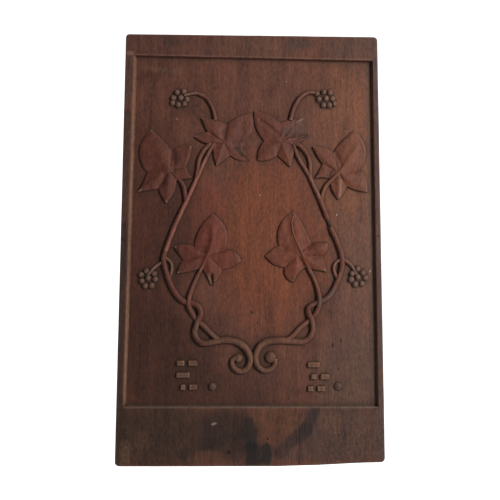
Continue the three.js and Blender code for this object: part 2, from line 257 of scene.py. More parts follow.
@dataclass
class Board:
    """The blank with its border and sunk field, worked out as one height over a grid and closed behind.

    A rim is the line where a wall of the field meets the border; a pair gives its two ends, the lower or the
    left one first. A slope is how far a wall leans between rim and floor. The border eases into a wall from
    ease_out to ease_in outside the rim, by the falls of arris, and a wall ends foot past its slope. The
    bottom edge is worn away by worn_rise at the places worn_from. A zone is where a change begins and how
    wide it is, and a noise is its pitch and seed.
    """

    width: float = 250.0
    height: float = 415.0
    corner_radius: float = 4.0
    front_round: float = 1.3
    back_round: float = 1.0
    rim_left: Pair = (-118.7, -116.0)
    rim_right: float = 119.7
    rim_top: Pair = (185.8, 182.9)
    rim_bottom: Pair = (-153.7, -153.6)
    side_slope: float = 1.8
    end_slope: float = 0.6
    ease_out: float = 1.0
    ease_in: float = 0.4
    arris: Pair = (0.05, 0.22)
    foot: float = 0.4
    foot_rise: float = 0.12
    past_foot: float = 1.4
    cell: float = 2.8
    edge_lines: int = 7
    end_strip: float = 4.0
    end_lines: int = 6
    band_low: float = 50.0
    field_length: float = 336.0
    band_high: float = 20.0
    round_steps: int = 5
    side_steps: int = 7
    side_zone: Pair = (120.0, 4.0)
    end_zone: Pair = (190.0, 16.0)
    waver: float = 0.06
    rim_waver: float = 0.15
    worn_from: tuple[float, ...] = (25.0, 41.0, 63.0, 85.0, 107.0, 125.0)
    worn_rise: tuple[float, ...] = (0.0, 0.5, 1.0, 2.2, 3.1, 3.5)
    floor_uneven: float = 0.15
    border_uneven: float = 0.08
    rim_noise: Lattice = (28.0, 3)
    side_noise: Lattice = (23.0, 5)
    end_noise: Lattice = (19.0, 6)
    fine_noise: Lattice = (7.0, 11)
    fine_squeeze: float = 0.35
    broad_noise: Lattice = (21.0, 12)
    broad_squeeze: float = 0.6
    broad_share: float = 0.6

    def _wall(self, inside: np.ndarray, slope: float) -> np.ndarray:
        """Depth across a wall: a worn arris, a straight lean and a tight foot.

        Args:
            inside: Distances inside the rim.
            slope: How far the wall leans.

        Returns:
            The depths, below zero, of the same shape.
        """
        places = [-self.ease_out, -self.ease_in, 0.0, slope, slope + self.foot]
        falls = [0.0, -self.arris[0], -self.arris[1], self.foot_rise - FIELD_DEPTH, -FIELD_DEPTH]
        return np.interp(inside, places, falls)

    def _wall_steps(self, slope: float) -> np.ndarray:
        """Distances inside a rim where the grid has a line."""
        return np.array([-self.ease_out, -self.ease_in, 0.0, 0.5 * slope, slope, slope + self.foot,
                         slope + self.past_foot])

    def left_middle(self) -> float:
        """Place of the left rim halfway up."""
        return sum(self.rim_left) / 2

    def _lean(self, x: np.ndarray, y: np.ndarray) -> np.ndarray:
        """Shift that slants the left rim: full at its wall, none at the board's edge and in mid-board.

        Args:
            x: Grid places to the right.
            y: Grid places up the board.

        Returns:
            The shifts to the right.
        """
        middle = self.left_middle()
        near = [-self.width / 2, middle - self.ease_out, middle + self.side_slope + self.past_foot, 0.0]
        slant = np.interp(y, [self.rim_bottom[0], self.rim_top[0]], self.rim_left) - middle
        return slant * np.interp(x, near, [0.0, 1.0, 1.0, 0.0])

    def _columns(self) -> np.ndarray:
        """Grid lines across the board, close together at the edges and walls.

        Returns:
            Their places, from left to right.
        """
        edge = self.width / 2 - self.front_round
        steps = self._wall_steps(self.side_slope)
        left = self.left_middle() + steps
        right = self.rim_right - steps[::-1]
        return np.concatenate([
            np.linspace(-edge, left[0], self.edge_lines)[:-1], left,
            np.linspace(left[-1], right[0], int((right[0] - left[-1]) / self.cell))[1:-1], right,
            np.linspace(right[-1], edge, self.edge_lines)[1:],
        ])

    def _rows(self, x: np.ndarray) -> tuple[np.ndarray, np.ndarray, np.ndarray]:
        """Grid lines up the board, which follow the slightly slanting ends of the field.

        Args:
            x: Places of the columns.

        Returns:
            The y of each grid point as row × column, and the y of the field's bottom and top rim by column.
        """
        edge = self.height / 2 - self.front_round
        span = [self.left_middle(), self.rim_right]
        ripple = self.rim_waver * Noise(*self.rim_noise).at(x, 0 * x)
        bottom = np.interp(x, span, self.rim_bottom) + ripple
        top = np.interp(x, span, self.rim_top) + ripple
        steps = self._wall_steps(self.end_slope)[:, None]
        low = bottom[None, :] + steps
        high = top[None, :] - steps[::-1]

        def between(start: np.ndarray, end: np.ndarray, length: float) -> np.ndarray:
            """Rows that divide the space between two lines evenly, without the lines."""
            return mix(start, end, np.linspace(0.0, 1.0, int(length / self.cell))[1:-1, None])

        near_foot = -edge + np.linspace(0.0, self.end_strip, self.end_lines)[:, None] + 0 * x
        near_head = edge - np.linspace(self.end_strip, 0.0, self.end_lines)[:, None] + 0 * x
        rows = np.concatenate([
            near_foot, between(near_foot[-1], low[0], self.band_low), low,
            between(low[-1], high[0], self.field_length), high,
            between(high[-1], near_head[0], self.band_high), near_head,
        ])
        return rows, bottom, top

    def _shape_outline(self, x: np.ndarray, y: np.ndarray) -> tuple[np.ndarray, np.ndarray]:
        """Round the corners, wear the bottom edge and let the outer edges waver, leaving the field in place.

        In a corner square the distance from the inner corner, taken as the larger of the two legs, becomes
        the true distance, which turns the square's sides into an arc.

        Args:
            x: Grid places to the right.
            y: Grid places up the board.

        Returns:
            The new places.
        """
        inner_x = self.width / 2 - self.corner_radius
        inner_y = self.height / 2 - self.corner_radius
        dx = np.maximum(np.abs(x) - inner_x, 0.0)
        dy = np.maximum(np.abs(y) - inner_y, 0.0)
        share = np.maximum(dx, dy) / np.maximum(np.hypot(dx, dy), TINY)
        new_x = np.sign(x) * (np.minimum(np.abs(x), inner_x) + dx * share)
        new_y = np.sign(y) * (np.minimum(np.abs(y), inner_y) + dy * share)
        near_side = smooth((np.abs(x) - self.side_zone[0]) / self.side_zone[1])
        near_end = smooth((np.abs(y) - self.end_zone[0]) / self.end_zone[1])
        new_x -= np.sign(x) * self.waver * near_side * (1 + Noise(*self.side_noise).at(x, y))
        new_y -= np.sign(y) * self.waver * near_end * (1 + Noise(*self.end_noise).at(x, y))
        new_y += np.where(y < 0, near_end * np.interp(x, self.worn_from, self.worn_rise), 0.0)
        return new_x, new_y

    def _front(self) -> np.ndarray:
        """Front of the board: the border's level, sunk by the shallower of its two pairs of walls.

        Returns:
            Its points, as row × column × 3.
        """
        columns = self._columns()
        y, bottom, top = self._rows(columns)
        x = np.broadcast_to(columns, y.shape)
        across = self._wall(np.minimum(x - self.left_middle(), self.rim_right - x), self.side_slope)
        along = self._wall(np.minimum(y - bottom, top - y), self.end_slope)
        sunk = np.maximum(across, along)
        rough = Noise(*self.fine_noise).at(x, y * self.fine_squeeze)
        rough = rough + self.broad_share * Noise(*self.broad_noise).at(x, y * self.broad_squeeze)
        uneven = mix(self.border_uneven, self.floor_uneven, smooth(-sunk / FIELD_DEPTH))
        out = BOARD_THICKNESS + sunk + rough * uneven
        x, y = self._shape_outline(x + self._lean(x, y), y)
        return np.stack([x, y, out], axis=-1)

    def _edge_profile(self) -> list[Pair]:
        """Section of the edge: a quarter circle in front, a straight side and a quarter circle behind.

        Returns:
            Offsets outwards and depths below the front.
        """
        turn = np.linspace(0.0, math.pi / 2, self.round_steps)[1:]
        front = [(self.front_round * math.sin(a), self.front_round * (1 - math.cos(a))) for a in turn]
        straight = np.linspace(self.front_round, BOARD_THICKNESS - self.back_round, self.side_steps)[1:]
        back = [(self.front_round - self.back_round * (1 - math.cos(a)),
                 BOARD_THICKNESS - self.back_round * (1 - math.sin(a))) for a in turn]
        return [*front, *((self.front_round, depth) for depth in straight), *back]

    def build(self) -> Shell:
        """Front as a height over the grid, then rounded edges, sides and a flat back.

        Returns:
            The closed blank.
        """
        front = self._front()
        rows, count = front.shape[:2]
        number = np.arange(rows * count).reshape(rows, count)
        loop = np.concatenate([number[0, :-1], number[:-1, -1], number[-1, :0:-1], number[:0:-1, 0]])
        rim = front.reshape(-1, 3)[loop]
        tangent = np.roll(rim, -1, axis=0) - np.roll(rim, 1, axis=0)
        outward = np.stack([tangent[:, 1], -tangent[:, 0]], axis=1)
        outward /= np.linalg.norm(outward, axis=1, keepdims=True)
        rings = []
        for offset, depth in self._edge_profile():
            level = rim[:, 2] * (1 - depth / BOARD_THICKNESS)
            rings.append(np.column_stack([rim[:, :2] + outward * offset, level]))
        points = np.vstack([front.reshape(-1, 3), *rings])
        around = len(loop)
        start = rows * count
        strip = np.concatenate([loop, np.arange(start, start + around * len(rings))])
        skirt = strip[grid_faces(len(rings) + 1, around, True)]
        faces = np.vstack([grid_faces(rows, count, False), skirt[:, ::-1]])
        back = np.arange(start + around * (len(rings) - 1), start + around * len(rings))
        return Shell(points, faces, (back[::-1],))


@dataclass(frozen=True)
class Cut:
    """A soft groove (rise below zero) or swelling (above zero) along a chain of straight lines."""

    path: tuple[Pair, ...]
    half: float
    rise: float

    def at(self, x: np.ndarray, y: np.ndarray) -> np.ndarray:
        """Height that it adds: a bell curve of the distance from the chain.

        Args:
            x: Places to the right.
            y: Places up the sheet.

        Returns:
            The heights.
        """
        knots = np.array(self.path, float)
        start, end = (knots[:-1], knots[1:]) if len(knots) > 1 else (knots, knots)
        run = end - start
        along = x[..., None] - start[:, 0]
        up = y[..., None] - start[:, 1]
        share = (along * run[:, 0] + up * run[:, 1]) / np.maximum((run**2).sum(axis=1), TINY)
        share = np.clip(share, 0.0, 1.0)
        far = np.hypot(along - share * run[:, 0], up - share * run[:, 1]).min(axis=-1)
        return self.rise * np.exp(-((far / self.half) ** 2))


@dataclass
class Leaf:
    """One ivy leaf: a blade drawn in rings from its vein centre, each lobe a pillow or a ridge.

    edge runs anticlockwise from the tip of the middle lobe, tip and notch by turns: x, y and the bulge of
    the side that follows, as a share of its length. lobes gives each lobe's swell and how sharp its ridge
    is. cuts are the carver's further grooves and swellings, and worn the height left at a point of the edge.
    The rises are heights above the floor at the vein centre, the tips and the notches; depth is how strongly
    swells and cuts stand out, lip how far the edge falls and flare how far its wall leans. A zone is where
    a change begins on the way from centre to edge and how wide it is.
    """

    name: str
    centre: Pair
    edge: Sequence[tuple[float, float, float]]
    lobes: Sequence[Pair]
    cuts: Sequence[Cut] = ()
    worn: dict[int, float] = field(default_factory=dict)
    vein_rise: float = 3.2
    tip_rise: float = 2.5
    notch_rise: float = 2.0
    depth: float = 1.15
    lip: float = 0.7
    flare: float = 0.6
    least_rise: float = 0.12
    side_points: int = 22
    rings: int = 34
    first_ring: float = 0.05
    ring_spread: float = 0.8
    rim_rings: tuple[float, ...] = (0.955, 0.98, 1.0)
    pillow: float = 2.5
    notch_reach: float = 0.85
    swell_reach: float = 0.95
    swell_level: float = 0.4
    wear_zone: Pair = (0.15, 0.5)
    lip_zone: Pair = (0.93, 0.07)
    uneven: float = 0.18
    tool_noise: Lattice = (5.0, 21)
    tool_squeeze: float = 0.6
    torn: float = 0.5
    torn_noise: Lattice = (2.2, 22)

    def _outline(self) -> tuple[np.ndarray, ...]:
        """Edge of the blade; each side is a parabola from tip to notch or back.

        Returns:
            Points x, y; each point's share of the way from ridge to notch; its lobe's swell and sharpness;
            its wear.
        """
        knots = np.array(self.edge)
        start = knots[:, :2]
        end = np.roll(start, -1, axis=0)
        chord = end - start
        middle = (start + end) / 2 + 2 * knots[:, 2:] * np.stack([chord[:, 1], -chord[:, 0]], axis=1)
        t = np.linspace(0.0, 1.0, self.side_points, endpoint=False)[None, :, None]
        curve = start[:, None] * (1 - t) ** 2 + 2 * middle[:, None] * t * (1 - t) + end[:, None] * t**2
        falling = np.arange(len(knots)) % 2 == 0
        away = np.where(falling[:, None], t[..., 0], 1 - t[..., 0])
        lobe = (np.arange(len(knots)) + 1) // 2 % len(self.lobes)
        swell, sharp = np.repeat(np.array(self.lobes)[lobe], self.side_points, axis=0).T
        rise = np.array([self.worn.get(k, 1.0) for k in range(len(knots))])
        wear = mix(rise[:, None], np.roll(rise, -1)[:, None], t[..., 0])
        return curve.reshape(-1, 2), away.ravel(), swell, sharp, wear.ravel()

    def _rise(self, place: np.ndarray, reach: np.ndarray, shape: tuple[np.ndarray, ...]) -> np.ndarray:
        """Height of the blade above the floor.

        It falls from the vein centre to the tips and more quickly to the notches. Across a lobe it is a
        pillow or, with a sharp ridge, a roof, which swells most halfway out.

        Args:
            place: Points of the blade, as ring × point × 2.
            reach: Share of the way from the centre to the edge, by ring.
            shape: Each edge point's share from ridge to notch, its lobe's swell and sharpness, and its wear.

        Returns:
            The heights, as ring × point.
        """
        away, swell, sharp, wear = shape
        x, y = place[..., 0], place[..., 1]
        roof = mix(1 - away**self.pillow, 1 - away, sharp)
        ridge = mix(self.vein_rise, self.tip_rise, reach**2)
        valley = mix(self.vein_rise, self.notch_rise, smooth(reach / self.notch_reach))
        swelling = np.sin(math.pi * np.minimum(reach, self.swell_reach))
        carving = swell * swelling * (roof - self.swell_level)
        carving = carving + sum(cut.at(x, y) for cut in self.cuts)
        rise = mix(valley, ridge, roof) + self.depth * carving
        rise = rise * mix(1.0, wear, smooth((reach - self.wear_zone[0]) / self.wear_zone[1]))
        rise = rise - self.lip * smooth((reach - self.lip_zone[0]) / self.lip_zone[1])
        tool = self.uneven * Noise(*self.tool_noise).at(x, y * self.tool_squeeze)
        torn = self.torn * Noise(*self.torn_noise).at(x, y) * (1 - wear) * reach
        return np.maximum(rise + tool + torn, self.least_rise)

    def build(self) -> Shell:
        """Blade, eased edge, steep wall and buried underside.

        Returns:
            The closed leaf.
        """
        outline, *shape = self._outline()
        blade = np.linspace(self.first_ring, 1.0, self.rings) ** self.ring_spread * self.lip_zone[0]
        reach = np.concatenate([blade, self.rim_rings])[:, None]
        centre = np.array(self.centre)
        place = mix(centre, outline[None], reach[..., None])
        rise = self._rise(place, reach, tuple(shape))
        top = np.concatenate([place, (FLOOR + rise)[..., None]], axis=-1)
        outward = (outline - centre) / np.linalg.norm(outline - centre, axis=1, keepdims=True)
        foot = np.column_stack([outline + self.flare * outward, np.full(len(outline), FLOOR)])
        under = np.column_stack([foot[:, :2], np.full(len(outline), FLOOR - EMBED)])
        return Shell.from_rings(np.concatenate([top, foot[None], under[None]]))


@dataclass
class Stem:
    """A stem carried along a smooth path: round on top, with sides that run down into the board.

    path holds x, y and how the stem crosses there, level if not said; the radii are spread along it evenly.
    """

    name: str
    path: Sequence[tuple[Any, ...]]
    radius: Sequence[float]
    crown: float = 1.0
    step: float = 1.3
    arc: int = 13
    waver: float = 0.06
    noise: Lattice = (9.0, 31)

    def build(self) -> Shell:
        """Half-round section set square to the path, point by point, with straight sides below.

        Returns:
            The closed stem.
        """
        lifts = [knot[2].value if len(knot) > 2 else Crossing.LEVEL.value for knot in self.path]
        knots = np.column_stack([[knot[0] for knot in self.path], [knot[1] for knot in self.path], lifts])
        line = spline(knots, self.step)
        tangent = np.gradient(line[:, :2], axis=0)
        tangent /= np.linalg.norm(tangent, axis=1, keepdims=True)
        side = np.stack([tangent[:, 1], -tangent[:, 0]], axis=1)
        radius = np.interp(np.linspace(0, 1, len(line)), np.linspace(0, 1, len(self.radius)), self.radius)
        radius = radius * (1 + self.waver * Noise(*self.noise).at(line[:, 0], line[:, 1]))
        angle = np.linspace(0.0, math.pi, self.arc)[None, :]
        across = radius[:, None] * np.cos(angle)
        out = FLOOR + line[:, 2:3] + self.crown * radius[:, None] * np.sin(angle)
        across = np.concatenate([across, across[:, -1:], across[:, :1]], axis=1)
        out = np.concatenate([out, np.full((len(line), 2), FLOOR - EMBED)], axis=1)
        places = line[:, None, :2] + across[..., None] * side[:, None, :]
        return Shell.from_rings(np.concatenate([places, out[..., None]], axis=-1))


@dataclass
class Dome:
    """A round knob on the floor: a quarter of an ellipse turned about its upright axis, on a buried neck."""

    name: str
    at: Pair
    radius: float
    rise: float
    sides: int = 18
    bands: int = 8
    top_tilt: float = 0.06

    def build(self) -> Shell:
        """Rings from just off the top down to the floor and below it.

        Returns:
            The closed knob.
        """
        tilt = np.linspace(self.top_tilt, math.pi / 2, self.bands)
        radii = np.append(np.sin(tilt), 1.0) * self.radius
        heights = np.append(np.cos(tilt) * self.rise, -EMBED) + FLOOR
        angle = np.linspace(0.0, 2 * math.pi, self.sides, endpoint=False)
        x = self.at[0] + radii[:, None] * np.cos(angle)
        y = self.at[1] + radii[:, None] * np.sin(angle)
        return Shell.from_rings(np.stack([x, y, np.broadcast_to(heights[:, None], x.shape)], axis=-1))


@dataclass
class Bunch:
    """A bunch of berries on a low bed: domes at the places that the carver gave them."""

    name: str
    berries: Sequence[Pair]
    radius: float = 3.1
    rise: float = 3.2
    middle_rise: float = 0.7
    middle_reach: float = 4.0
    bed_radius: float = 8.5
    bed_rise: float = 0.9
    uneven: float = 0.09
    noise: Lattice = (3.0, 41)

    def domes(self) -> list[Dome]:
        """One dome for each berry, no two quite alike; those in the middle stand higher.

        Returns:
            The bed and the berries.
        """
        places = np.array(self.berries)
        far = np.linalg.norm(places - places.mean(axis=0), axis=1)
        rises = self.rise + self.middle_rise * np.exp(-(far / self.middle_reach) ** 2)
        radii = self.radius * (1 + self.uneven * Noise(*self.noise).at(places[:, 0], places[:, 1]))
        bed = Dome(f"{self.name}_bed", tuple(places.mean(axis=0)), self.bed_radius, self.bed_rise)
        return [bed, *(
            Dome(f"{self.name}_{k}", tuple(place), radius, rise)
            for k, (place, radius, rise) in enumerate(zip(places, radii, rises))
        )]


@dataclass
class StrokeGroup:
    """Rows of short raised strokes: plain bars with sloping sides and softened ends."""

    name: str
    at: Pair
    rows: Sequence[Sequence[Pair]]
    pitch: float = 11.0
    height: float = 5.6
    rise: float = 2.6
    slope: float = 0.6
    flat_inset: float = 1.6
    ease_inset: float = 0.35
    ease_falls: Pair = (0.03, 0.3)
    roundness: float = 0.25
    around: int = 48

    def shells(self) -> list[Shell]:
        """One shell for each stroke; its outline is a rounded oblong, an oval with an exponent of eight.

        Returns:
            The closed strokes.
        """
        angle = np.linspace(0.0, 2 * math.pi, self.around, endpoint=False)
        cos = np.sign(np.cos(angle)) * np.abs(np.cos(angle)) ** self.roundness
        sin = np.sign(np.sin(angle)) * np.abs(np.sin(angle)) ** self.roundness
        levels = [
            (self.slope + self.flat_inset, self.rise),
            (self.slope + self.ease_inset, self.rise - self.ease_falls[0]),
            (self.slope, self.rise - self.ease_falls[1]), (0.0, 0.0), (0.0, -EMBED),
        ]
        made = []
        for k, row in enumerate(self.rows):
            for start, end in row:
                middle_x = self.at[0] + (start + end) / 2
                middle_y = self.at[1] - k * self.pitch
                rings = [
                    np.column_stack([
                        middle_x + ((end - start) / 2 - inset) * cos,
                        middle_y + (self.height / 2 - inset) * sin,
                        np.full(self.around, FLOOR + level),
                    ])
                    for inset, level in levels
                ]
                made.append(Shell.from_rings(np.array(rings)))
        return made


BROKEN, UNDER, OVER = Crossing.BROKEN, Crossing.UNDER, Crossing.OVER
IN_LEAF, ON_LEAF = Crossing.IN_LEAF, Crossing.ON_LEAF


@dataclass
class Plaque:
    """The whole carving: the board and everything that was left standing on the floor of its field."""

    board: Board = field(default_factory=Board)
    leaves: Sequence[Leaf] = field(default_factory=lambda: [
        Leaf("leaf_upper_left", (-79, 69), [
            (-97.5, 109, 0.21), (-101.5, 67.5, -0.07), (-109.5, 48.5, 0), (-90, 51.5, 0.03),
            (-82, 37.5, 0.1), (-72.5, 59.5, 0), (-56.5, 62, -0.09), (-64, 73, 0.07), (-58.5, 93, 0.11),
            (-77.5, 88.5, 0.03),
        ], [(0.6, 0), (0.7, 0.1), (0.9, 0.5), (0.4, 0.1), (0.5, 0.2)], [
            Cut(((-101, 68), (-95, 70.5), (-88, 71.5)), 3.0, -0.9),
            Cut(((-90, 53), (-86, 60), (-84, 65)), 2.6, -0.9),
            Cut(((-76.5, 88), (-74.5, 78), (-75.5, 70)), 3.4, -1.3),
            Cut(((-64, 73), (-70, 72)), 2.2, -0.5),
            Cut(((-93, 92), (-86, 80), (-80, 69)), 3.5, 0.4),
            Cut(((-59.5, 91), (-63, 80), (-62, 68)), 2.8, 0.6),
        ]),
        Leaf("leaf_inner_left", (-27, 97), [
            (-0.5, 127, 0.08), (-24, 115, 0.05), (-49, 121, 0.05), (-43, 107.5, 0.02), (-55.5, 102.5, 0.1),
            (-38, 95, 0.05), (-34, 74, 0), (-21, 84.5, 0.12), (-2, 79.3, -0.2), (-8.5, 97.5, 0.19),
        ], [(0.4, 0), (0.6, 0), (0.8, 0.2), (1.0, 0.8), (0.6, 0.3)], [
            Cut(((-24.5, 115), (-28, 108), (-27.5, 101)), 3.0, -0.9),
            Cut(((-14.7, 115.6), (-13, 117)), 4.0, 0.5),
            Cut(((-8.5, 97.5), (-13, 97)), 1.8, -0.9),
            Cut(((-13, 92), (-11, 88.4), (-6, 83.5), (-3, 80)), 1.7, -1.0),
        ], worn={0: 0.5, 8: 0.5, 9: 0.5}),
        Leaf("leaf_inner_right", (29, 97), [
            (3, 128, 0.11), (12, 98.5, 0.115), (6.3, 79.5, 0.115), (25, 84.5, 0.02), (37.5, 73.5, 0.06),
            (41, 95, 0.05), (57, 104, 0), (45, 108, 0.03), (51, 121.5, 0.06), (28, 116.5, 0.08),
        ], [(0.4, 0), (0.7, 0), (1.0, 0.8), (0.2, 0), (0.2, 0)], [
            Cut(((8, 119), (18, 112), (27, 104)), 1.6, -1.2),
            Cut(((32, 103), (38, 110)), 2.4, -1.1),
            Cut(((24, 86), (24.5, 91)), 1.8, -0.8),
            Cut(((39, 109), (50, 121)), 0.9, 1.2),
            Cut(((36, 100.5), (56, 105)), 0.9, 1.2),
        ], worn={6: 0.14, 7: 0.12, 8: 0.14}),
        Leaf("leaf_upper_right", (84, 68), [
            (101, 109, 0.05), (80, 88, 0.085), (59.5, 93, 0.05), (69, 76, 0), (62, 62.3, -0.04),
            (76.5, 61.5, 0.12), (84, 41.5, 0.05), (92.5, 54, 0.05), (112, 48.5, 0.115), (106, 70.5, 0.2),
        ], [(0.5, 0), (0.7, 0.1), (0.5, 0), (1.5, 1), (0.7, 0.1)], [
            Cut(((86, 69), (95, 81), (103.5, 93.5)), 2.6, 0.7),
            Cut(((80.5, 88), (84.5, 81), (86.5, 74)), 2.6, -1.1),
            Cut(((77, 68.5), (74.5, 64)), 3.0, -0.9),
            Cut(((105, 71), (96, 69)), 2.4, -0.7),
            Cut(((104.5, 98.5), (108.5, 89.5), (107.5, 77)), 1.2, -0.5),
        ]),
        Leaf("leaf_lower_left", (-41, -13), [
            (-37, 27, 0.1), (-55, -4.5, 0.125), (-73.5, -4.3, 0), (-65, -17, 0.08), (-70.5, -29.5, 0.04),
            (-47.3, -24.3, -0.02), (-38, -40.5, 0.09), (-28.3, -26, 0.07), (-10, -18, 0.2),
            (-25, -7.5, 0.19),
        ], [(0.6, 0.2), (0.6, 0), (0.6, 0), (0.5, 0.3), (0.7, 0)], [
            Cut(((-38, -31), (-36.8, -39)), 1.5, -2.2),
            Cut(((-55, -4.5), (-48, -6)), 2.4, -0.7),
            Cut(((-64, -17), (-55, -15)), 2.4, -0.7),
            Cut(((-26, -7.5), (-31, -8)), 2.2, -0.7),
            Cut(((-48.5, -17), (-44.5, -6), (-42, 6)), 4.0, -1.0),
            Cut(((-36.5, 14), (-38, -1), (-42, -14), (-45.5, -21)), 2.2, 0.7),
        ]),
        Leaf("leaf_lower_right", (45, -12), [
            (41, 29.5, 0.18), (26, -3.5, 0.05), (13.8, -13, 0.12), (31.5, -24, 0.19), (40.5, -38, -0.07),
            (51.2, -23.7, 0.02), (72, -28, 0.02), (68, -13.5, 0.15), (73, -1.5, 0.06), (57.5, -1.5, 0.04),
        ], [(0.6, 0.2), (0.6, 0), (1.0, 0.5), (0.7, 0.2), (0.6, 0)], [
            Cut(((26, -4), (33, -6)), 2.2, -0.7),
            Cut(((32, -23), (37, -15)), 2.2, -0.9),
            Cut(((67, -7),), 4.0, 0.8),
            Cut(((58, -2), (54, -7)), 2.2, -0.9),
            Cut(((49.5, -22), (46, -14)), 2.0, -0.9),
            Cut(((67.5, -14), (60, -14)), 2.2, -0.8),
            Cut(((24, -12), (30, -11)), 4.5, -0.4),
            Cut(((35, 20), (35.5, 9), (38, -1), (42, -9)), 4.0, -0.9),
        ]),
    ])
    stems: Sequence[Stem] = field(default_factory=lambda: [
        Stem("main_left", [
            (-36, 97), (-45, 80), (-55, 57), (-64, 37), (-74, 15), (-82, -8), (-83.5, -18), (-79.5, -32),
            (-74.5, -44), (-66, -54.5), (-58, -57.3, UNDER), (-50.5, -60), (-47.8, -67), (-51, -76, OVER),
            (-53.2, -85), (-50, -92), (-44, -95), (-34, -93.5),
        ], (1.9, 2.3, 2.6, 2.8, 2.8)),
        Stem("strand_left", [(-40, 96), (-47, 88), (-51, 79), (-52.3, 69), (-54.5, 58)], (2.2, 2.2, 1.8)),
        Stem("twig_left", [(-81.5, -15), (-77, -18.5), (-75.5, -25), (-78, -36)], (1.5, 1.7, 1.6)),
        Stem("stalk_upper_left", [
            (-78, 69, ON_LEAF), (-74.4, 65, IN_LEAF), (-70.5, 61.3), (-67, 56.5), (-64.5, 49.5), (-63, 39),
        ], (0.7, 1.6, 2.1, 2.2, 2.2)),
        Stem("stalk_lower_left", [
            (-37.2, 21, ON_LEAF), (-34.8, 12, ON_LEAF), (-35.5, 4, ON_LEAF), (-38, -4, ON_LEAF),
            (-42, -14, ON_LEAF), (-46.3, -22.5, IN_LEAF), (-52, -34), (-57, -46), (-59.3, -57, OVER),
            (-57, -65), (-51.5, -73, UNDER), (-44, -79.5), (-36, -87.5), (-30, -92),
        ], (0.3, 0.6, 1.2, 1.9, 2.2, 2.4, 2.5, 2.4)),
        Stem("scroll_left", [
            (-40, -94.5), (-30, -92.5), (-22, -92), (-14, -93.5), (-7, -97.5), (-2, -104), (-0.5, -111),
            (-3.5, -118), (-9.5, -120.8), (-16, -117.5), (-17.8, -111), (-13, -107.5),
        ], (2.8, 3.1, 3.0, 2.6, 2.2)),
        Stem("berry_stalk_upper_left", [
            (-66, 143.5), (-56.5, 145.7), (-50, 144.5), (-44, 140.5), (-38.5, 131.5), (-35.3, 119),
        ], (1.0, 1.7, 2.0, 1.9)),
        Stem("berry_stalk_lower_left", [(-84, -18), (-91.8, -23.8), (-98, -31)], (1.3, 1.4, 1.2)),
        Stem("main_right", [
            (40.5, 95), (46, 81), (55, 66), (65, 44), (71.8, 27), (74.3, 19, BROKEN), (77.2, 12), (83, -1),
            (86.7, -14), (86, -27), (79, -44), (72, -53), (62, -57.5, UNDER), (55, -61.5), (54.3, -66.5),
            (57.5, -74, OVER), (58.5, -83), (55, -90), (48, -93.8), (36, -93),
        ], (1.9, 2.3, 2.6, 2.7, 2.8)),
        Stem("strand_right", [
            (38, 97), (46, 94.5), (53, 87), (56.5, 78), (56.8, 69), (57.5, 60),
        ], (2.1, 2.3, 2.1, 1.8)),
        Stem("twig_right", [(85.5, -16.5), (81, -19.5), (79, -26), (83, -37)], (1.5, 1.7, 1.6)),
        Stem("stalk_upper_right", [
            (102, 92, ON_LEAF), (95, 81, ON_LEAF), (86.5, 69.5, ON_LEAF), (78.5, 61, IN_LEAF), (72.5, 55),
            (69, 47.5), (67, 39),
        ], (0.3, 0.7, 1.5, 1.9, 2.1, 2.1)),
        Stem("stalk_lower_right", [
            (40.5, 25.5, ON_LEAF), (38.8, 19, ON_LEAF), (39.8, 10, ON_LEAF), (43, 1, ON_LEAF),
            (46.8, -7, ON_LEAF), (51, -16, IN_LEAF), (54.8, -24.5), (62, -40), (65, -56, OVER), (62, -66),
            (56.5, -72.5, UNDER), (46, -81), (40, -87.5), (34, -92),
        ], (0.4, 0.9, 1.5, 2.0, 2.3, 2.5, 2.5, 2.5)),
        Stem("scroll_right", [
            (42, -93.5), (30, -92.5), (22, -92.5), (14, -94), (8, -98), (5, -104), (4.5, -110), (7, -116.5),
            (12.5, -120), (18.5, -118.8), (22.3, -114.8), (22.8, -109.5),
        ], (2.8, 3.3, 3.2, 2.8, 2.4, 2.2)),
        Stem("berry_stalk_upper_right", [
            (66, 146), (57, 147.2), (52, 145.3), (47.5, 141.7), (43.6, 136), (40.5, 129), (38, 119),
        ], (1.3, 1.9, 2.4, 2.4, 2.2)),
        Stem("berry_stalk_lower_right", [
            (86.5, -15.5), (90, -17.5), (94, -20.2), (97.3, -24.3), (101, -32),
        ], (1.8, 1.9, 1.4, 1.1)),
    ])
    bunches: Sequence[Bunch] = field(default_factory=lambda: [
        Bunch("bunch_upper_left", [
            (-73.2, 146.4), (-66.8, 147.3), (-76.8, 141), (-69.6, 141), (-63.6, 139.6), (-77.5, 136),
            (-72.1, 134.3), (-66, 135.4),
        ]),
        Bunch("bunch_upper_right", [
            (64, 146), (70.8, 147.5), (77, 147), (66, 140.4), (73, 141), (79.2, 140.8), (70.4, 134.6),
            (76.2, 134.6), (81.3, 136),
        ]),
        Bunch("bunch_lower_left", [
            (-99.9, -27.2), (-104.6, -30.7), (-92.4, -29.8), (-98, -33.8), (-103.8, -36.4), (-91.3, -35),
            (-100.5, -41.2), (-94.6, -40.8),
        ]),
        Bunch("bunch_lower_right", [
            (101.9, -25.5), (96.4, -30), (106.6, -29), (95.6, -35.5), (101.6, -33.1), (109, -33.8),
            (99.4, -40), (105.6, -39.4),
        ]),
    ])
    knobs: Sequence[Dome] = field(default_factory=lambda: [
        Dome("scroll_end_left", (-12, -108.8), 4.4, 3.5),
        Dome("scroll_end_right", (18.5, -108.1), 5.6, 3.6),
        Dome("boss_left", (-36, -134.5), 4.0, 2.6),
        Dome("boss_right", (82, -135), 4.0, 2.6),
    ])
